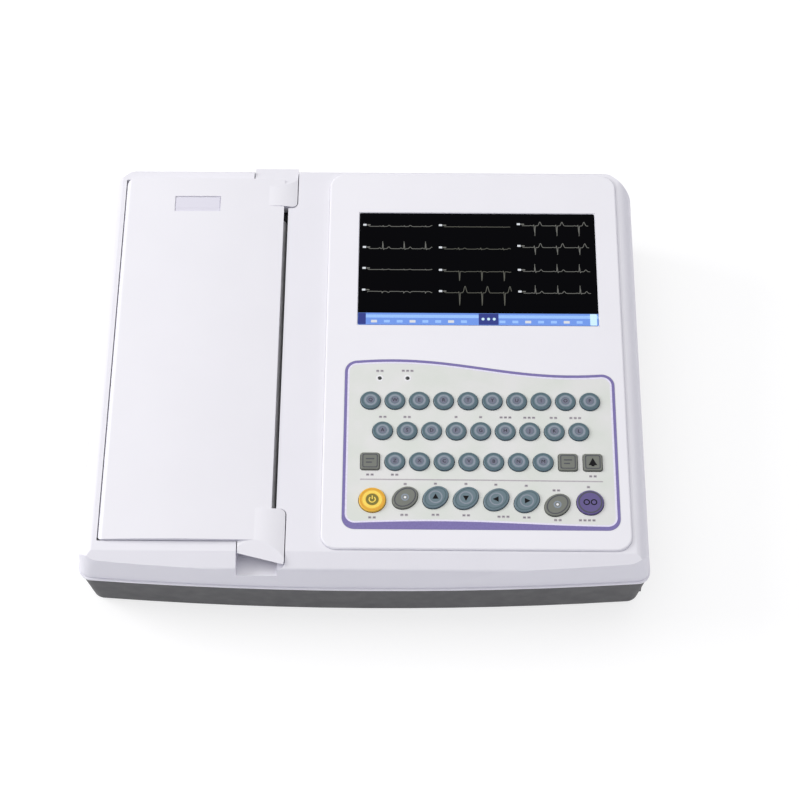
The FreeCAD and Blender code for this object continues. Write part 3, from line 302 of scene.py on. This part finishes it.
# ---------------------------------------------------------------- piece building
class Piece:
    """A mesh piece made of closed solids, in deck or world millimetres."""

    def __init__(self, name, on_deck=True):
        self.name = name
        self.mesh = bmesh.new()
        self.keys = []
        self.space = DECK if on_deck else Matrix.Identity(4)

    def slot(self, key):
        if key not in self.keys:
            self.keys.append(key)
        return self.keys.index(key)

    def face(self, corners, index, smooth=False):
        made = self.mesh.faces.new(corners)
        made.material_index = index
        made.smooth = smooth

    def band(self, rings, key, closed_ends=True, wrap=True, smooth=True):
        """Skin between rings of points, each ring closed on itself."""
        index = self.slot(key)
        rows = [[self.mesh.verts.new(self.space @ (Vector(p) * MM)) for p in ring]
                for ring in rings]
        count = len(rows[0])
        for low, high in zip(rows, rows[1:]):
            for i in range(count):
                j = (i + 1) % count
                self.face((low[i], low[j], high[j], high[i]), index, smooth)
        if closed_ends:
            self.face(list(reversed(rows[0])), index)
            self.face(rows[-1], index)
        else:
            for i in range(count):
                j = (i + 1) % count
                self.face((rows[-1][i], rows[-1][j], rows[0][j], rows[0][i]), index, smooth)

    def slab(self, outline, low, high, key):
        """Flat plate with the given plan outline."""
        self.band([[(x, y, low) for x, y in outline], [(x, y, high) for x, y in outline]],
                  key, smooth=False)

    def hoop(self, outer, inner, low, high, key, outer_high=None):
        """Closed frame between two plan outlines of equal count."""
        edge = high if outer_high is None else outer_high
        self.band([[(x, y, low) for x, y in outer], [(x, y, edge) for x, y in outer],
                   [(x, y, high) for x, y in inner], [(x, y, low) for x, y in inner]],
                  key, closed_ends=False, smooth=False)

    def line(self, points, width, low, high, key):
        """Thin raised stroke along open plan points."""
        left, right = [], []
        for i, (x, y) in enumerate(points):
            ax, ay = points[max(i - 1, 0)]
            bx, by = points[min(i + 1, len(points) - 1)]
            length = math.hypot(bx - ax, by - ay) or 1.0
            nx, ny = -(by - ay) / length * width / 2, (bx - ax) / length * width / 2
            left.append((x + nx, y + ny))
            right.append((x - nx, y - ny))
        index = self.slot(key)
        rows = [[self.mesh.verts.new(self.space @ (Vector((x, y, z)) * MM))
                 for (x, y), z in ((a, low), (b, low), (b, high), (a, high))]
                for a, b in zip(left, right)]
        for one, two in zip(rows, rows[1:]):
            for i in range(4):
                j = (i + 1) % 4
                self.face((one[i], two[i], two[j], one[j]), index)
        self.face(rows[0], index)
        self.face(list(reversed(rows[-1])), index)

    def finish(self, body):
        bmesh.ops.recalc_face_normals(self.mesh, faces=self.mesh.faces)
        data = bpy.data.meshes.new(self.name)
        self.mesh.to_mesh(data)
        self.mesh.free()
        for key in self.keys:
            data.materials.append(MAT[key])
        item = bpy.data.objects.new(self.name, data)
        bpy.context.scene.collection.objects.link(item)
        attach(item, body)


def circle(x, y, radius, count=32):
    return [(x + radius * math.cos(2 * math.pi * i / count),
             y + radius * math.sin(2 * math.pi * i / count)) for i in range(count)]


def oval(x, y, long, short, turn, count=40):
    points = []
    for i in range(count):
        a = 2 * math.pi * i / count
        u, v = long / 2 * math.cos(a), short / 2 * math.sin(a)
        points.append((x + u * math.cos(turn) - v * math.sin(turn),
                       y + u * math.sin(turn) + v * math.cos(turn)))
    return points


def rounded(left, right, front, rear, radius, steps=6):
    """Rounded rectangle in plan, anticlockwise."""
    points = []
    for cx, cy, start in ((right - radius, front + radius, -90),
                          (right - radius, rear - radius, 0),
                          (left + radius, rear - radius, 90),
                          (left + radius, front + radius, 180)):
        for i in range(steps + 1):
            a = math.radians(start + 90 * i / steps)
            points.append((cx + radius * math.cos(a), cy + radius * math.sin(a)))
    return points


def lettering(text, x, y, z, piece_name, body):
    """A key's plain character as a thin closed mesh lying on the key's face."""
    curve = bpy.data.curves.new(piece_name, "FONT")
    curve.body = text
    curve.size = LETTER_SIZE * MM
    curve.align_x = "CENTER"
    curve.align_y = "CENTER"
    curve.extrude = LETTER_RAISE / 2 * MM
    curve.resolution_u = 2
    source = bpy.data.objects.new(piece_name + "_curve", curve)
    bpy.context.scene.collection.objects.link(source)
    bpy.context.view_layer.update()
    data = bpy.data.meshes.new_from_object(source.evaluated_get(
        bpy.context.evaluated_depsgraph_get()))
    bpy.data.objects.remove(source)
    bpy.data.curves.remove(curve)
    data.transform(DECK @ Matrix.Translation(Vector((x, y, z)) * MM))
    welded = bmesh.new()
    welded.from_mesh(data)
    bmesh.ops.remove_doubles(welded, verts=welded.verts, dist=1e-7)
    bmesh.ops.recalc_face_normals(welded, faces=welded.faces)
    welded.to_mesh(data)
    welded.free()
    data.materials.clear()
    data.materials.append(MAT["ink_black"])
    for polygon in data.polygons:
        polygon.material_index = 0
    data.name = piece_name
    item = bpy.data.objects.new(piece_name, data)
    bpy.context.scene.collection.objects.link(item)
    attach(item, body)


# ---------------------------------------------------------------- CAD nodes' looks
def dress_nodes():
    looks = {
        "top_case": "white", "control_panel": "panel", "paper_cover": "cover",
        "bottom_case": "grey", "battery_door": "grey", "rubber_feet": "rubber",
        "keypad_overlay": "film", "lcd_display": "glass", "key_board": "board",
        "main_board": "board", "power_supply": "aluminium", "battery_pack": "wrap",
        "ac_inlet": "black", "power_switch": "gloss_black", "ground_post": "nickel",
        "patient_connector": "steel", "data_ports": "steel", "paper_tray": "tray",
        "platen_roller": "platen", "platen_gear": "acetal", "drive_gear": "brass",
        "paper_motor": "steel", "print_head": "aluminium",
    }
    for node, key in looks.items():
        dress(node, key)
    for node in NODES:
        if node.startswith("key_") and node not in looks:
            dress(node, key_color(node))


def key_color(node):
    if node in ("key_c01", "key_c09", "key_c10", "key_d01", "key_d06"):
        return "key_stone"
    if node == "key_power":
        return "key_yellow"
    if node == "key_print":
        return "key_purple"
    return "key_oval" if node.startswith("key_d") else "key"


SOFT_ANGLE = math.radians(30)     # edges sharper than this are rounded


def soften(node, width_mm):
    """Round a moulding's sharp edges, and keep its large faces evenly shaded."""
    item = NODES[node]
    bevel = item.modifiers.new("soft_edges", "BEVEL")
    bevel.width = width_mm * MM
    bevel.segments = 2
    bevel.limit_method = "ANGLE"
    bevel.angle_limit = SOFT_ANGLE
    bevel.use_clamp_overlap = False
    even = item.modifiers.new("even_faces", "WEIGHTED_NORMAL")
    even.mode = "FACE_AREA_WITH_ANGLE"
    even.weight = 50
    even.keep_sharp = False


# ---------------------------------------------------------------- keypad
# Key places and sizes are the design's own, in deck millimetres.
KEY_TOP = 1.3                    # height of a key's face over the panel
STEP = 0.06                      # thickness of a printed layer
SINK = 0.02                      # how far a print reaches into its key
PRINT_LOW, PRINT_HIGH = KEY_TOP - SINK, KEY_TOP + STEP
PITCH = 15.14
# each letter row: first key's x, the row's y and its characters
ROWS = {"a": (2.6, -55.0, "QWERTYUIOP"), "b": (10.3, -76.3, "ASDFGHJKL"),
        "c": (2.9, -97.6, " ZXCVBNM  ")}
OVAL_X, OVAL_PITCH = 24.5, 18.46
OVAL_Y = (-122.5, -122.1, -122.5, -123.3, -124.3, -126.7)
OVAL_LONG, OVAL_SHORT, OVAL_TURN = 16.9, 13.5, math.radians(42)
# on the arrow keys the dark rim is painted shade round the key's edge
OVAL_RIM, OVAL_RIM_WIDTH = 2.2, 1.4      # how far in the printed rim lies, over both sides
POWER_AT, PRINT_AT = (4.6, -124.1), (136.7, -125.0)
LETTER_SIZE, LETTER_RAISE = 3.3, 0.05
SQUARE_RIM = ((4.7, 1.2), (4.1, 0.9))    # half width and corner of the rim's two outlines
ARROW = 3.6                      # arrow size on an oval key, and on the square one below
ARROW_UP = 5.2
ARROW_REACH = 0.62               # corner distance as a share of the arrow's size


def arrow(x, y, heading, size=ARROW):
    """Solid triangle pointing at a heading in degrees."""
    a, reach = math.radians(heading), size * ARROW_REACH
    return [(x + reach * math.cos(a + d), y + reach * math.sin(a + d))
            for d in (0, math.radians(125), math.radians(-125))]


def ring_print(face, x, y, outer, inner, key, count=32):
    """Ring of colour on a key's face: print, and at a key's outer edge painted shade."""
    face.hoop(circle(x, y, outer, count), circle(x, y, inner, count), PRINT_LOW, PRINT_HIGH, key)


def make_round_key(node, x, y, letter):
    face = Piece(node + "_face")
    # the outer dark ring is painted shade round the key's edge
    ring_print(face, x, y, 5.55, 4.75, "key_rim")
    ring_print(face, x, y, 4.0, 2.7, "key_light")
    core_top = KEY_TOP + STEP / 2
    face.slab(circle(x, y, 2.35, 24), PRINT_LOW, core_top, "key_core")
    face.finish(node)
    lettering(letter, x, y, core_top + SINK, node + "_letter", node)


def make_square_key(node, x, y, mark):
    face = Piece(node + "_face")
    outer, inner = (rounded(x - half, x + half, y - half, y + half, corner)
                    for half, corner in SQUARE_RIM)
    face.hoop(outer, inner, PRINT_LOW, PRINT_HIGH, "ink_dark")
    if mark == "up":
        face.slab(arrow(x, y - 0.4, 90, ARROW_UP), PRINT_LOW, PRINT_HIGH, "ink_black")
        face.slab(rounded(x - 0.9, x + 0.9, y - 3.0, y - 1.0, 0.2), PRINT_LOW,
                  PRINT_HIGH - 0.01, "ink_black")
    else:
        for i, (a, b) in enumerate(((-2.6, 2.6), (-2.6, 1.2))):
            face.slab(rounded(x + a, x + b, y + 0.9 - 2.4 * i, y + 1.7 - 2.4 * i, 0.3),
                      PRINT_LOW, PRINT_HIGH, "ink_dark")
    face.finish(node)


def make_oval_key(node, x, y, heading):
    """An oval key: a stone-coloured one with a dot, or one with an arrow."""
    face = Piece(node + "_face")
    stone = heading is None
    outer, inner = (oval(x, y, OVAL_LONG - less, OVAL_SHORT - less, OVAL_TURN)
                    for less in (OVAL_RIM, OVAL_RIM + OVAL_RIM_WIDTH))
    # on the arrow keys this dark ring is painted shade round the key's edge
    face.hoop(outer, inner, PRINT_LOW, PRINT_HIGH, "ink_dark" if stone else "key_rim")
    if stone:
        ring_print(face, x, y, 2.4, 1.5, "key_light")
        face.slab(circle(x, y, 0.8, 16), PRINT_LOW, PRINT_HIGH, "ink_white")
    else:
        ring_print(face, x, y, 4.3, 3.5, "key_light")
        face.slab(arrow(x, y, heading), PRINT_LOW, PRINT_HIGH, "ink_black")
    face.finish(node)


def make_power_key(x, y):
    """Yellow rings round an olive disc with the usual broken ring and stroke."""
    face = Piece("key_power_face")
    ring_print(face, x, y, 7.5, 6.6, "yellow_rim", 48)
    ring_print(face, x, y, 5.9, 4.2, "yellow_core", 48)
    face.slab(circle(x, y, 3.9, 40), PRINT_LOW, PRINT_HIGH - SINK, "ink_olive")
    radius, width = 1.9, 0.7
    ring = [(x + radius * math.cos(math.radians(a)), y + radius * math.sin(math.radians(a)))
            for a in range(130, 411, 20)]
    for stroke in (ring, [(x, y + 0.2), (x, y + 2.6)]):
        face.line(stroke, width, KEY_TOP, PRINT_HIGH + SINK, "yellow_core")
    face.finish("key_power")


def make_print_key(x, y):
    face = Piece("key_print_face")
    ring_print(face, x, y, 7.3, 6.5, "ink_dark", 48)
    for side in (-1, 1):
        ring_print(face, x + side * 2.2, y, 2.0, 1.3, "ink_black", 28)
    face.finish("key_print")


def make_keys():
    marks = {"key_c01": "bars", "key_c09": "bars", "key_c10": "up"}
    for row, (first, y, letters) in ROWS.items():
        for i, letter in enumerate(letters):
            node, x = "key_%s%02d" % (row, i + 1), first + i * PITCH
            if node in marks:
                make_square_key(node, x, y, marks[node])
            else:
                make_round_key(node, x, y, letter)
    for i, heading in enumerate((None, 90, -90, 180, 0, None)):
        make_oval_key("key_d%02d" % (i + 1), OVAL_X + i * OVAL_PITCH, OVAL_Y[i], heading)
    make_power_key(*POWER_AT)
    make_print_key(*PRINT_AT)


FILM_LEFT, FILM_RIGHT, FILM_FRONT, FILM_CORNER = -13.9, 154.9, -143.5, 8.0
# each wave: middle line, half height, x of a crest and the crest-to-trough distance
REAR_WAVE = (-30.45, 5.45, 16.7, 111.0)
FRONT_WAVE = (-139.4, 1.5, 45.0, 110.0)
FILM_BED = -0.01                 # prints on the film start just inside it


def wave_at(x, wave):
    middle, height, crest, span = wave
    return middle + height * math.cos(math.pi * (x - crest) / span)


def rear_wave(x):
    """Rear edge of the keypad's film."""
    return wave_at(x, REAR_WAVE)


def front_wave(x):
    """Front edge of the pale field inside the purple border."""
    return wave_at(x, FRONT_WAVE)


def film_ring(inset, front, steps=40):
    """Plan outline of the film, moved in by inset, with its own front line."""
    left, right = FILM_LEFT + inset, FILM_RIGHT - inset
    radius = FILM_CORNER - inset
    points = []

    def corner(cx, cy, start):
        for i in range(9):
            a = math.radians(start + 90 * i / 8)
            points.append((cx + radius * math.cos(a), cy + radius * math.sin(a)))

    corner(left + radius, front(left + radius) + radius, 180)
    for i in range(1, steps):
        x = left + radius + (right - left - 2 * radius) * i / steps
        points.append((x, front(x)))
    corner(right - radius, front(right - radius) + radius, 270)
    corner(right - radius, rear_wave(right - radius) - inset - radius, 0)
    for i in range(1, steps):
        x = right - radius - (right - left - 2 * radius) * i / steps
        points.append((x, rear_wave(x) - inset))
    corner(left + radius, rear_wave(left + radius) - inset - radius, 90)
    return points


def make_film_prints():
    border = Piece("film_border")
    border.hoop(film_ring(0.15, lambda x: FILM_FRONT), film_ring(1.95, front_wave),
                FILM_BED, STEP, "ink_purple")
    border.hoop(film_ring(1.97, front_wave), film_ring(3.1, lambda x: front_wave(x) + 1.1),
                FILM_BED, STEP / 2, "ink_lavender")
    border.finish("chassis")

    rule = Piece("film_rule")
    rule.line([(-3.0, -109.8), (70, -109.9), (145.0, -110.4)], 0.8, FILM_BED, STEP,
              "ink_grey")
    rule.finish("chassis")

    # short generic bars where captions stand, never characters: x, y and how many
    captions = Piece("film_captions")
    places = [(8.1, -33.6, 2), (25.5, -33.4, 3), (10.3, -66.4, 2), (25.4, -66.4, 2),
              (55.7, -66.2, 1), (70.9, -66.2, 1), (86.3, -66.3, 3), (101.0, -66.4, 3),
              (116.0, -66.4, 2), (129.5, -66.4, 3), (2.9, -106.6, 2), (18.0, -106.6, 2),
              (139.0, -106.8, 2), (4.6, -135.6, 2), (24.0, -133.8, 2), (42.9, -133.6, 2),
              (61.5, -133.8, 2), (84.0, -134.6, 3), (98.0, -135.0, 2), (116.8, -136.6, 2),
              (134.5, -136.6, 4), (24.5, -112.9, 1), (42.9, -112.6, 1), (61.5, -112.6, 1),
              (79.7, -113.0, 1), (98.2, -113.6, 1), (116.4, -116.6, 2), (136.0, -114.2, 1)]
    for x, y, count in places:
        for i in range(count):
            middle = x + (i - (count - 1) / 2) * 2.7
            captions.slab(rounded(middle - 1.0, middle + 1.0, y - 0.85, y + 0.85, 0.35, 2),
                          FILM_BED, STEP / 2, "ink_grey")
            captions.slab(rounded(middle - 0.7, middle + 0.7, y - 0.2, y + 0.25, 0.15, 2),
                          0.0, STEP * 0.8, "ink_dark")
    captions.finish("chassis")

    for i, (x, y) in enumerate(((8.1, -38.8), (25.5, -38.7))):
        lens = Piece("lamp_lens_%d" % (i + 1))
        rings = [[(px, py, z) for px, py in circle(x, y, radius, 20)]
                 for radius, z in ((1.2, -3.0), (1.2, 0.1), (0.95, 0.35), (0.5, 0.5))]
        lens.band(rings, "lens")
        lens.finish("chassis")
        halo = Piece("lamp_ring_%d" % (i + 1))
        halo.hoop(circle(x, y, 2.3, 28), circle(x, y, 1.5, 28), FILM_BED, STEP, "ink_white")
        halo.finish("chassis")


# ---------------------------------------------------------------- screen
SCREEN_LEFT, SCREEN_WIDTH, SCREEN_HEIGHT = -6.9, 154.1, 86.2
GLASS = -0.6                     # the display's face, below the panel's
BAR_SHARE = 0.11                 # height of the status bar as a share of the screen
TRACE_WIDTH, TRACE_STEPS = 0.42, 210


def bump(t, middle, width, height):
    return height * math.exp(-((t - middle) / width) ** 2)


def beat(t, p, r, s, wave):
    """One heartbeat of an ECG lead over t = 0..1, in millimetres of deflection."""
    return (bump(t, 0.25, 0.04, p) + bump(t, 0.40, 0.014, r)
            + bump(t, 0.44, 0.016, -s) + bump(t, 0.68, 0.06, wave))


# one row each: (start share, end share, height share, p, r, s, t-wave) for three columns
LEADS = [
    [(0.04, 0.31, 0.140, 0.3, 0.9, 0.2, 0.9), (0.36, 0.64, 0.140, 0.1, 0.3, 0.2, 0.1),
     (0.69, 0.97, 0.125, 0.2, 0.9, 8.0, 3.0)],
    [(0.04, 0.31, 0.365, 0.6, 6.2, 0.8, 1.4), (0.36, 0.64, 0.365, 0.4, 1.3, 0.5, 0.8),
     (0.69, 0.97, 0.345, 0.2, 1.6, 5.6, 3.2)],
    [(0.04, 0.31, 0.575, 0.1, 0.6, 0.2, 0.4), (0.36, 0.64, 0.590, 0.2, 0.8, 7.6, -0.4),
     (0.69, 0.97, 0.585, 0.3, 5.8, 0.9, 1.4)],
    [(0.04, 0.31, 0.790, -0.2, -1.6, 0.4, -0.8), (0.36, 0.64, 0.800, 0.2, 1.0, 10.2, 5.0),
     (0.69, 0.97, 0.800, 0.3, 6.0, 0.6, 1.5)],
]
# where each column's first beat starts, as a share of a beat
PHASES = (0.71, 0.75, 0.87)
BEATS = 3


def make_screen():
    bar_top = SCREEN_HEIGHT * BAR_SHARE
    black = SCREEN_HEIGHT - bar_top

    def at(across, down):
        return SCREEN_LEFT + across * SCREEN_WIDTH, SCREEN_HEIGHT - down * black

    traces = Piece("screen_traces")
    labels = Piece("screen_labels")
    low, high = GLASS - 0.01, GLASS + 0.04
    for row in LEADS:
        for column, (start, end, down, p, r, s, wave) in enumerate(row):
            x0, y0 = at(start, down)
            x1 = at(end, down)[0]
            points = []
            for i in range(TRACE_STEPS + 1):
                share = i / TRACE_STEPS
                height = beat((share * BEATS + PHASES[column]) % 1.0, p, r, s, wave)
                points.append((x0 + share * (x1 - x0), y0 + height))
            traces.line(points, TRACE_WIDTH, low, high, "trace" if column != 1 else "trace_dim")
            labels.slab(rounded(x0 - 3.4, x0 - 1.2, y0 + 0.5, y0 + 1.9, 0.3, 2), low,
                        high + 0.01, "screen_white")
            labels.slab(rounded(x0 - 0.8, x0 + 1.4, y0 + 0.7, y0 + 1.6, 0.3, 2), low,
                        high + 0.01, "trace")
    traces.finish("chassis")
    labels.finish("chassis")

    bar = Piece("screen_bar")
    left, right = SCREEN_LEFT + 0.5, SCREEN_LEFT + SCREEN_WIDTH - 0.5
    bar.slab(rounded(left, right, 0.6, bar_top, 0.3, 2), low, high, "bar_blue")
    bar.slab(rounded(left, right, bar_top * 0.62, bar_top * 0.86, 0.3, 2), low, high + 0.01,
             "bar_light")
    for start, end, key in ((0.502, 0.584, "bar_dark"), (0.004, 0.036, "bar_dark"),
                            (0.962, 0.99, "bar_cyan")):
        bar.slab(rounded(SCREEN_LEFT + start * SCREEN_WIDTH, SCREEN_LEFT + end * SCREEN_WIDTH,
                         bar_top * 0.10, bar_top * 0.98, 0.3, 2), low, high + 0.02, key)
    for i in range(17):
        share = 0.07 + 0.053 * i
        x = SCREEN_LEFT + SCREEN_WIDTH * share
        if not 0.48 < share < 0.6:
            bar.slab(rounded(x - 1.9, x + 1.9, bar_top * 0.24, bar_top * 0.44, 0.2, 2), low,
                     high + 0.015, "bar_light" if i % 3 else "screen_white")
    for i in range(3):
        x = SCREEN_LEFT + SCREEN_WIDTH * (0.52 + 0.023 * i)
        bar.slab(circle(x, bar_top * 0.55, 1.0, 12), low, high + 0.03, "bar_cyan")
    bar.finish("chassis")

    bezel = Piece("screen_bezel")
    outer, inner = (rounded(SCREEN_LEFT + inset, SCREEN_LEFT + SCREEN_WIDTH - inset, inset,
                            SCREEN_HEIGHT - inset, corner)
                    for inset, corner in ((0.03, 1.0), (0.35, 1.2)))
    bezel.hoop(outer, inner, GLASS - 0.02, GLASS + 0.08, "bezel", outer_high=-0.03)
    bezel.finish("chassis")


# ---------------------------------------------------------------- shell details
def make_cover_plate():
    """Blank raised plate; the slope along its front edge is the widest."""
    plate = Piece("cover_label_plate")
    outline = rounded(-127.5, -98.1, 85.7, 97.0, 0.8)
    inner = rounded(-127.0, -98.6, 88.6, 96.5, 0.6)
    plate.band([[(x, y, 0.1) for x, y in outline], [(x, y, 0.35) for x, y in outline],
                [(x, y, 0.95) for x, y in inner]], "plate", smooth=False)
    plate.finish("cover")


MARK_OFFSET = 12.6               # from the rocker's middle to each mark
MARK_DEPTHS = (-0.05, 0.05)      # into and out of the inlet's face


def make_rear_marks():
    """The usual bar and ring above and below the rocker switch."""
    face_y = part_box("ac_inlet")[1].y / MM
    low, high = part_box("power_switch")
    middle = (low + high) / 2 / MM
    for side, shape in ((1, "bar"), (-1, "ring")):
        mark = Piece("switch_mark_" + shape, on_deck=False)
        z = middle.z + side * MARK_OFFSET
        if shape == "bar":
            ring = [(-0.35, -1.6), (0.35, -1.6), (0.35, 1.6), (-0.35, 1.6)]
            mark.band([[(middle.x + x, face_y + d, z + y) for x, y in ring]
                       for d in MARK_DEPTHS], "ink_white", smooth=False)
        else:
            into, out = MARK_DEPTHS
            rings = [[(middle.x + x, face_y + d, z + y) for x, y in circle(0, 0, radius, 24)]
                     for d, radius in ((into, 1.5), (out, 1.5), (out, 0.9), (into, 0.9))]
            mark.band(rings, "ink_white", closed_ends=False, smooth=False)
        mark.finish("chassis")


SCREW_RADIUS = 2.6
SCREWS = ((-150, -60), (150, -60), (-150, 60), (150, 66), (0, -124), (-60, 132))


def base_screw(name, x, y, z):
    """Cross-head screw in the underside: domed head with a cross recess, facing down."""
    piece = Piece(name, on_deck=False)
    turn = Vector((0, 0, 1)).rotation_difference(Vector((0, 0, -1))).to_matrix()
    base = Vector((x, y, z))

    def ring(r, height, cross=0.0):
        points = []
        for i in range(32):
            a = 2 * math.pi * i / 32
            arm = max(abs(math.cos(a)), abs(math.sin(a)))
            reach = r * (1.0 + cross * arm ** 12)
            points.append(tuple(base + turn @ Vector((reach * math.cos(a),
                                                      reach * math.sin(a), height))))
        return points

    piece.band([ring(SCREW_RADIUS, -0.4), ring(SCREW_RADIUS, 0.25),
                ring(SCREW_RADIUS * 0.8, 0.6), ring(SCREW_RADIUS * 0.3, 0.7, 1.2),
                ring(SCREW_RADIUS * 0.22, -0.1, 1.2)], "steel")
    piece.finish("chassis")


def make_base_details():
    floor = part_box("bottom_case")[0].z / MM
    for i, (x, y) in enumerate(SCREWS):
        base_screw("base_screw_%d" % (i + 1), x, y, floor + 0.1)
    label = Piece("blank_rating_label", on_deck=False)
    outline = rounded(-110, -40, -70, -30, 2.0)
    label.band([[(x, y, floor + 0.02) for x, y in outline],
                [(x, y, floor - 0.1) for x, y in outline]], "silver_label", smooth=False)
    label.finish("chassis")


# ---------------------------------------------------------------- floor and light
FLOOR_HALF = 6.0                 # metres
SKY_UP = (0.0, 0.08, 0.99)       # the sky brightens along this direction
SKY_FROM, SKY_TO = 0.25, 0.85    # where it starts to, and where it is at its brightest
SKY_LOW, SKY_HIGH = (0.03, 0.03, 0.13, 1.0), (1.03, 1.025, 0.99, 1.0)
# soft boxes aimed at the origin: name, place and size in metres, watts and tint
LAMPS = (("key_light", (-1.7, 0.3, 1.0), 1.0, 24.0, (1.0, 0.995, 0.985)),
         ("fill_light", (1.3, -0.4, 1.4), 1.2, 2.5, (0.95, 0.96, 1.0)))


def make_floor():
    data = bpy.data.meshes.new("floor")
    corners = [(x * FLOOR_HALF, y * FLOOR_HALF, 0)
               for x, y in ((-1, -1), (1, -1), (1, 1), (-1, 1))]
    data.from_pydata(corners, [], [(0, 1, 2, 3)])
    floor = bpy.data.objects.new("floor", data)
    bpy.context.scene.collection.objects.link(floor)
    shader = Shader("floor_paper", srgb(162, 162, 163), 0.9)
    shader.bump(shader.noise(3), 0.02, 0.2)
    shader.main.inputs["Emission Color"].default_value = (1.0, 1.0, 1.0, 1.0)
    shader.main.inputs["Emission Strength"].default_value = 0.70
    data.materials.append(shader.material)


def make_light():
    """Soft studio: pale overhead, dim and violet near the horizon, two soft boxes."""
    world = bpy.data.worlds.new("studio")
    world.use_nodes = True
    tree = world.node_tree
    back = tree.nodes["Background"]
    place = tree.nodes.new("ShaderNodeTexCoord")
    rise = tree.nodes.new("ShaderNodeVectorMath")
    rise.operation = "DOT_PRODUCT"
    view, up = rise.inputs[:2]
    up.default_value = SKY_UP
    ramp = tree.nodes.new("ShaderNodeMapRange")
    blend = tree.nodes.new("ShaderNodeMix")
    blend.data_type = "RGBA"
    ramp.inputs["From Min"].default_value = SKY_FROM
    ramp.inputs["From Max"].default_value = SKY_TO
    color_socket(blend.inputs, "A").default_value = SKY_LOW
    color_socket(blend.inputs, "B").default_value = SKY_HIGH
    tree.links.new(place.outputs["Generated"], view)
    tree.links.new(rise.outputs["Value"], ramp.inputs["Value"])
    tree.links.new(ramp.outputs["Result"], blend.inputs["Factor"])
    tree.links.new(color_socket(blend.outputs, "Result"), back.inputs["Color"])
    bpy.context.scene.world = world

    for name, at, size, power, tint in LAMPS:
        light = bpy.data.lights.new(name, "AREA")
        light.size = size
        light.energy = power
        light.color = tint
        lamp = bpy.data.objects.new(name, light)
        lamp.location = at
        lamp.rotation_euler = (-Vector(at)).to_track_quat("-Z", "Y").to_euler()
        bpy.context.scene.collection.objects.link(lamp)
    bpy.context.scene.view_settings.view_transform = "Standard"


place_camera()
dress_nodes()
soften("paper_cover", 0.35)
soften("control_panel", 0.3)
soften("top_case", 0.35)
make_keys()
make_film_prints()
make_screen()
make_cover_plate()
make_rear_marks()
make_base_details()
make_floor()
make_light()
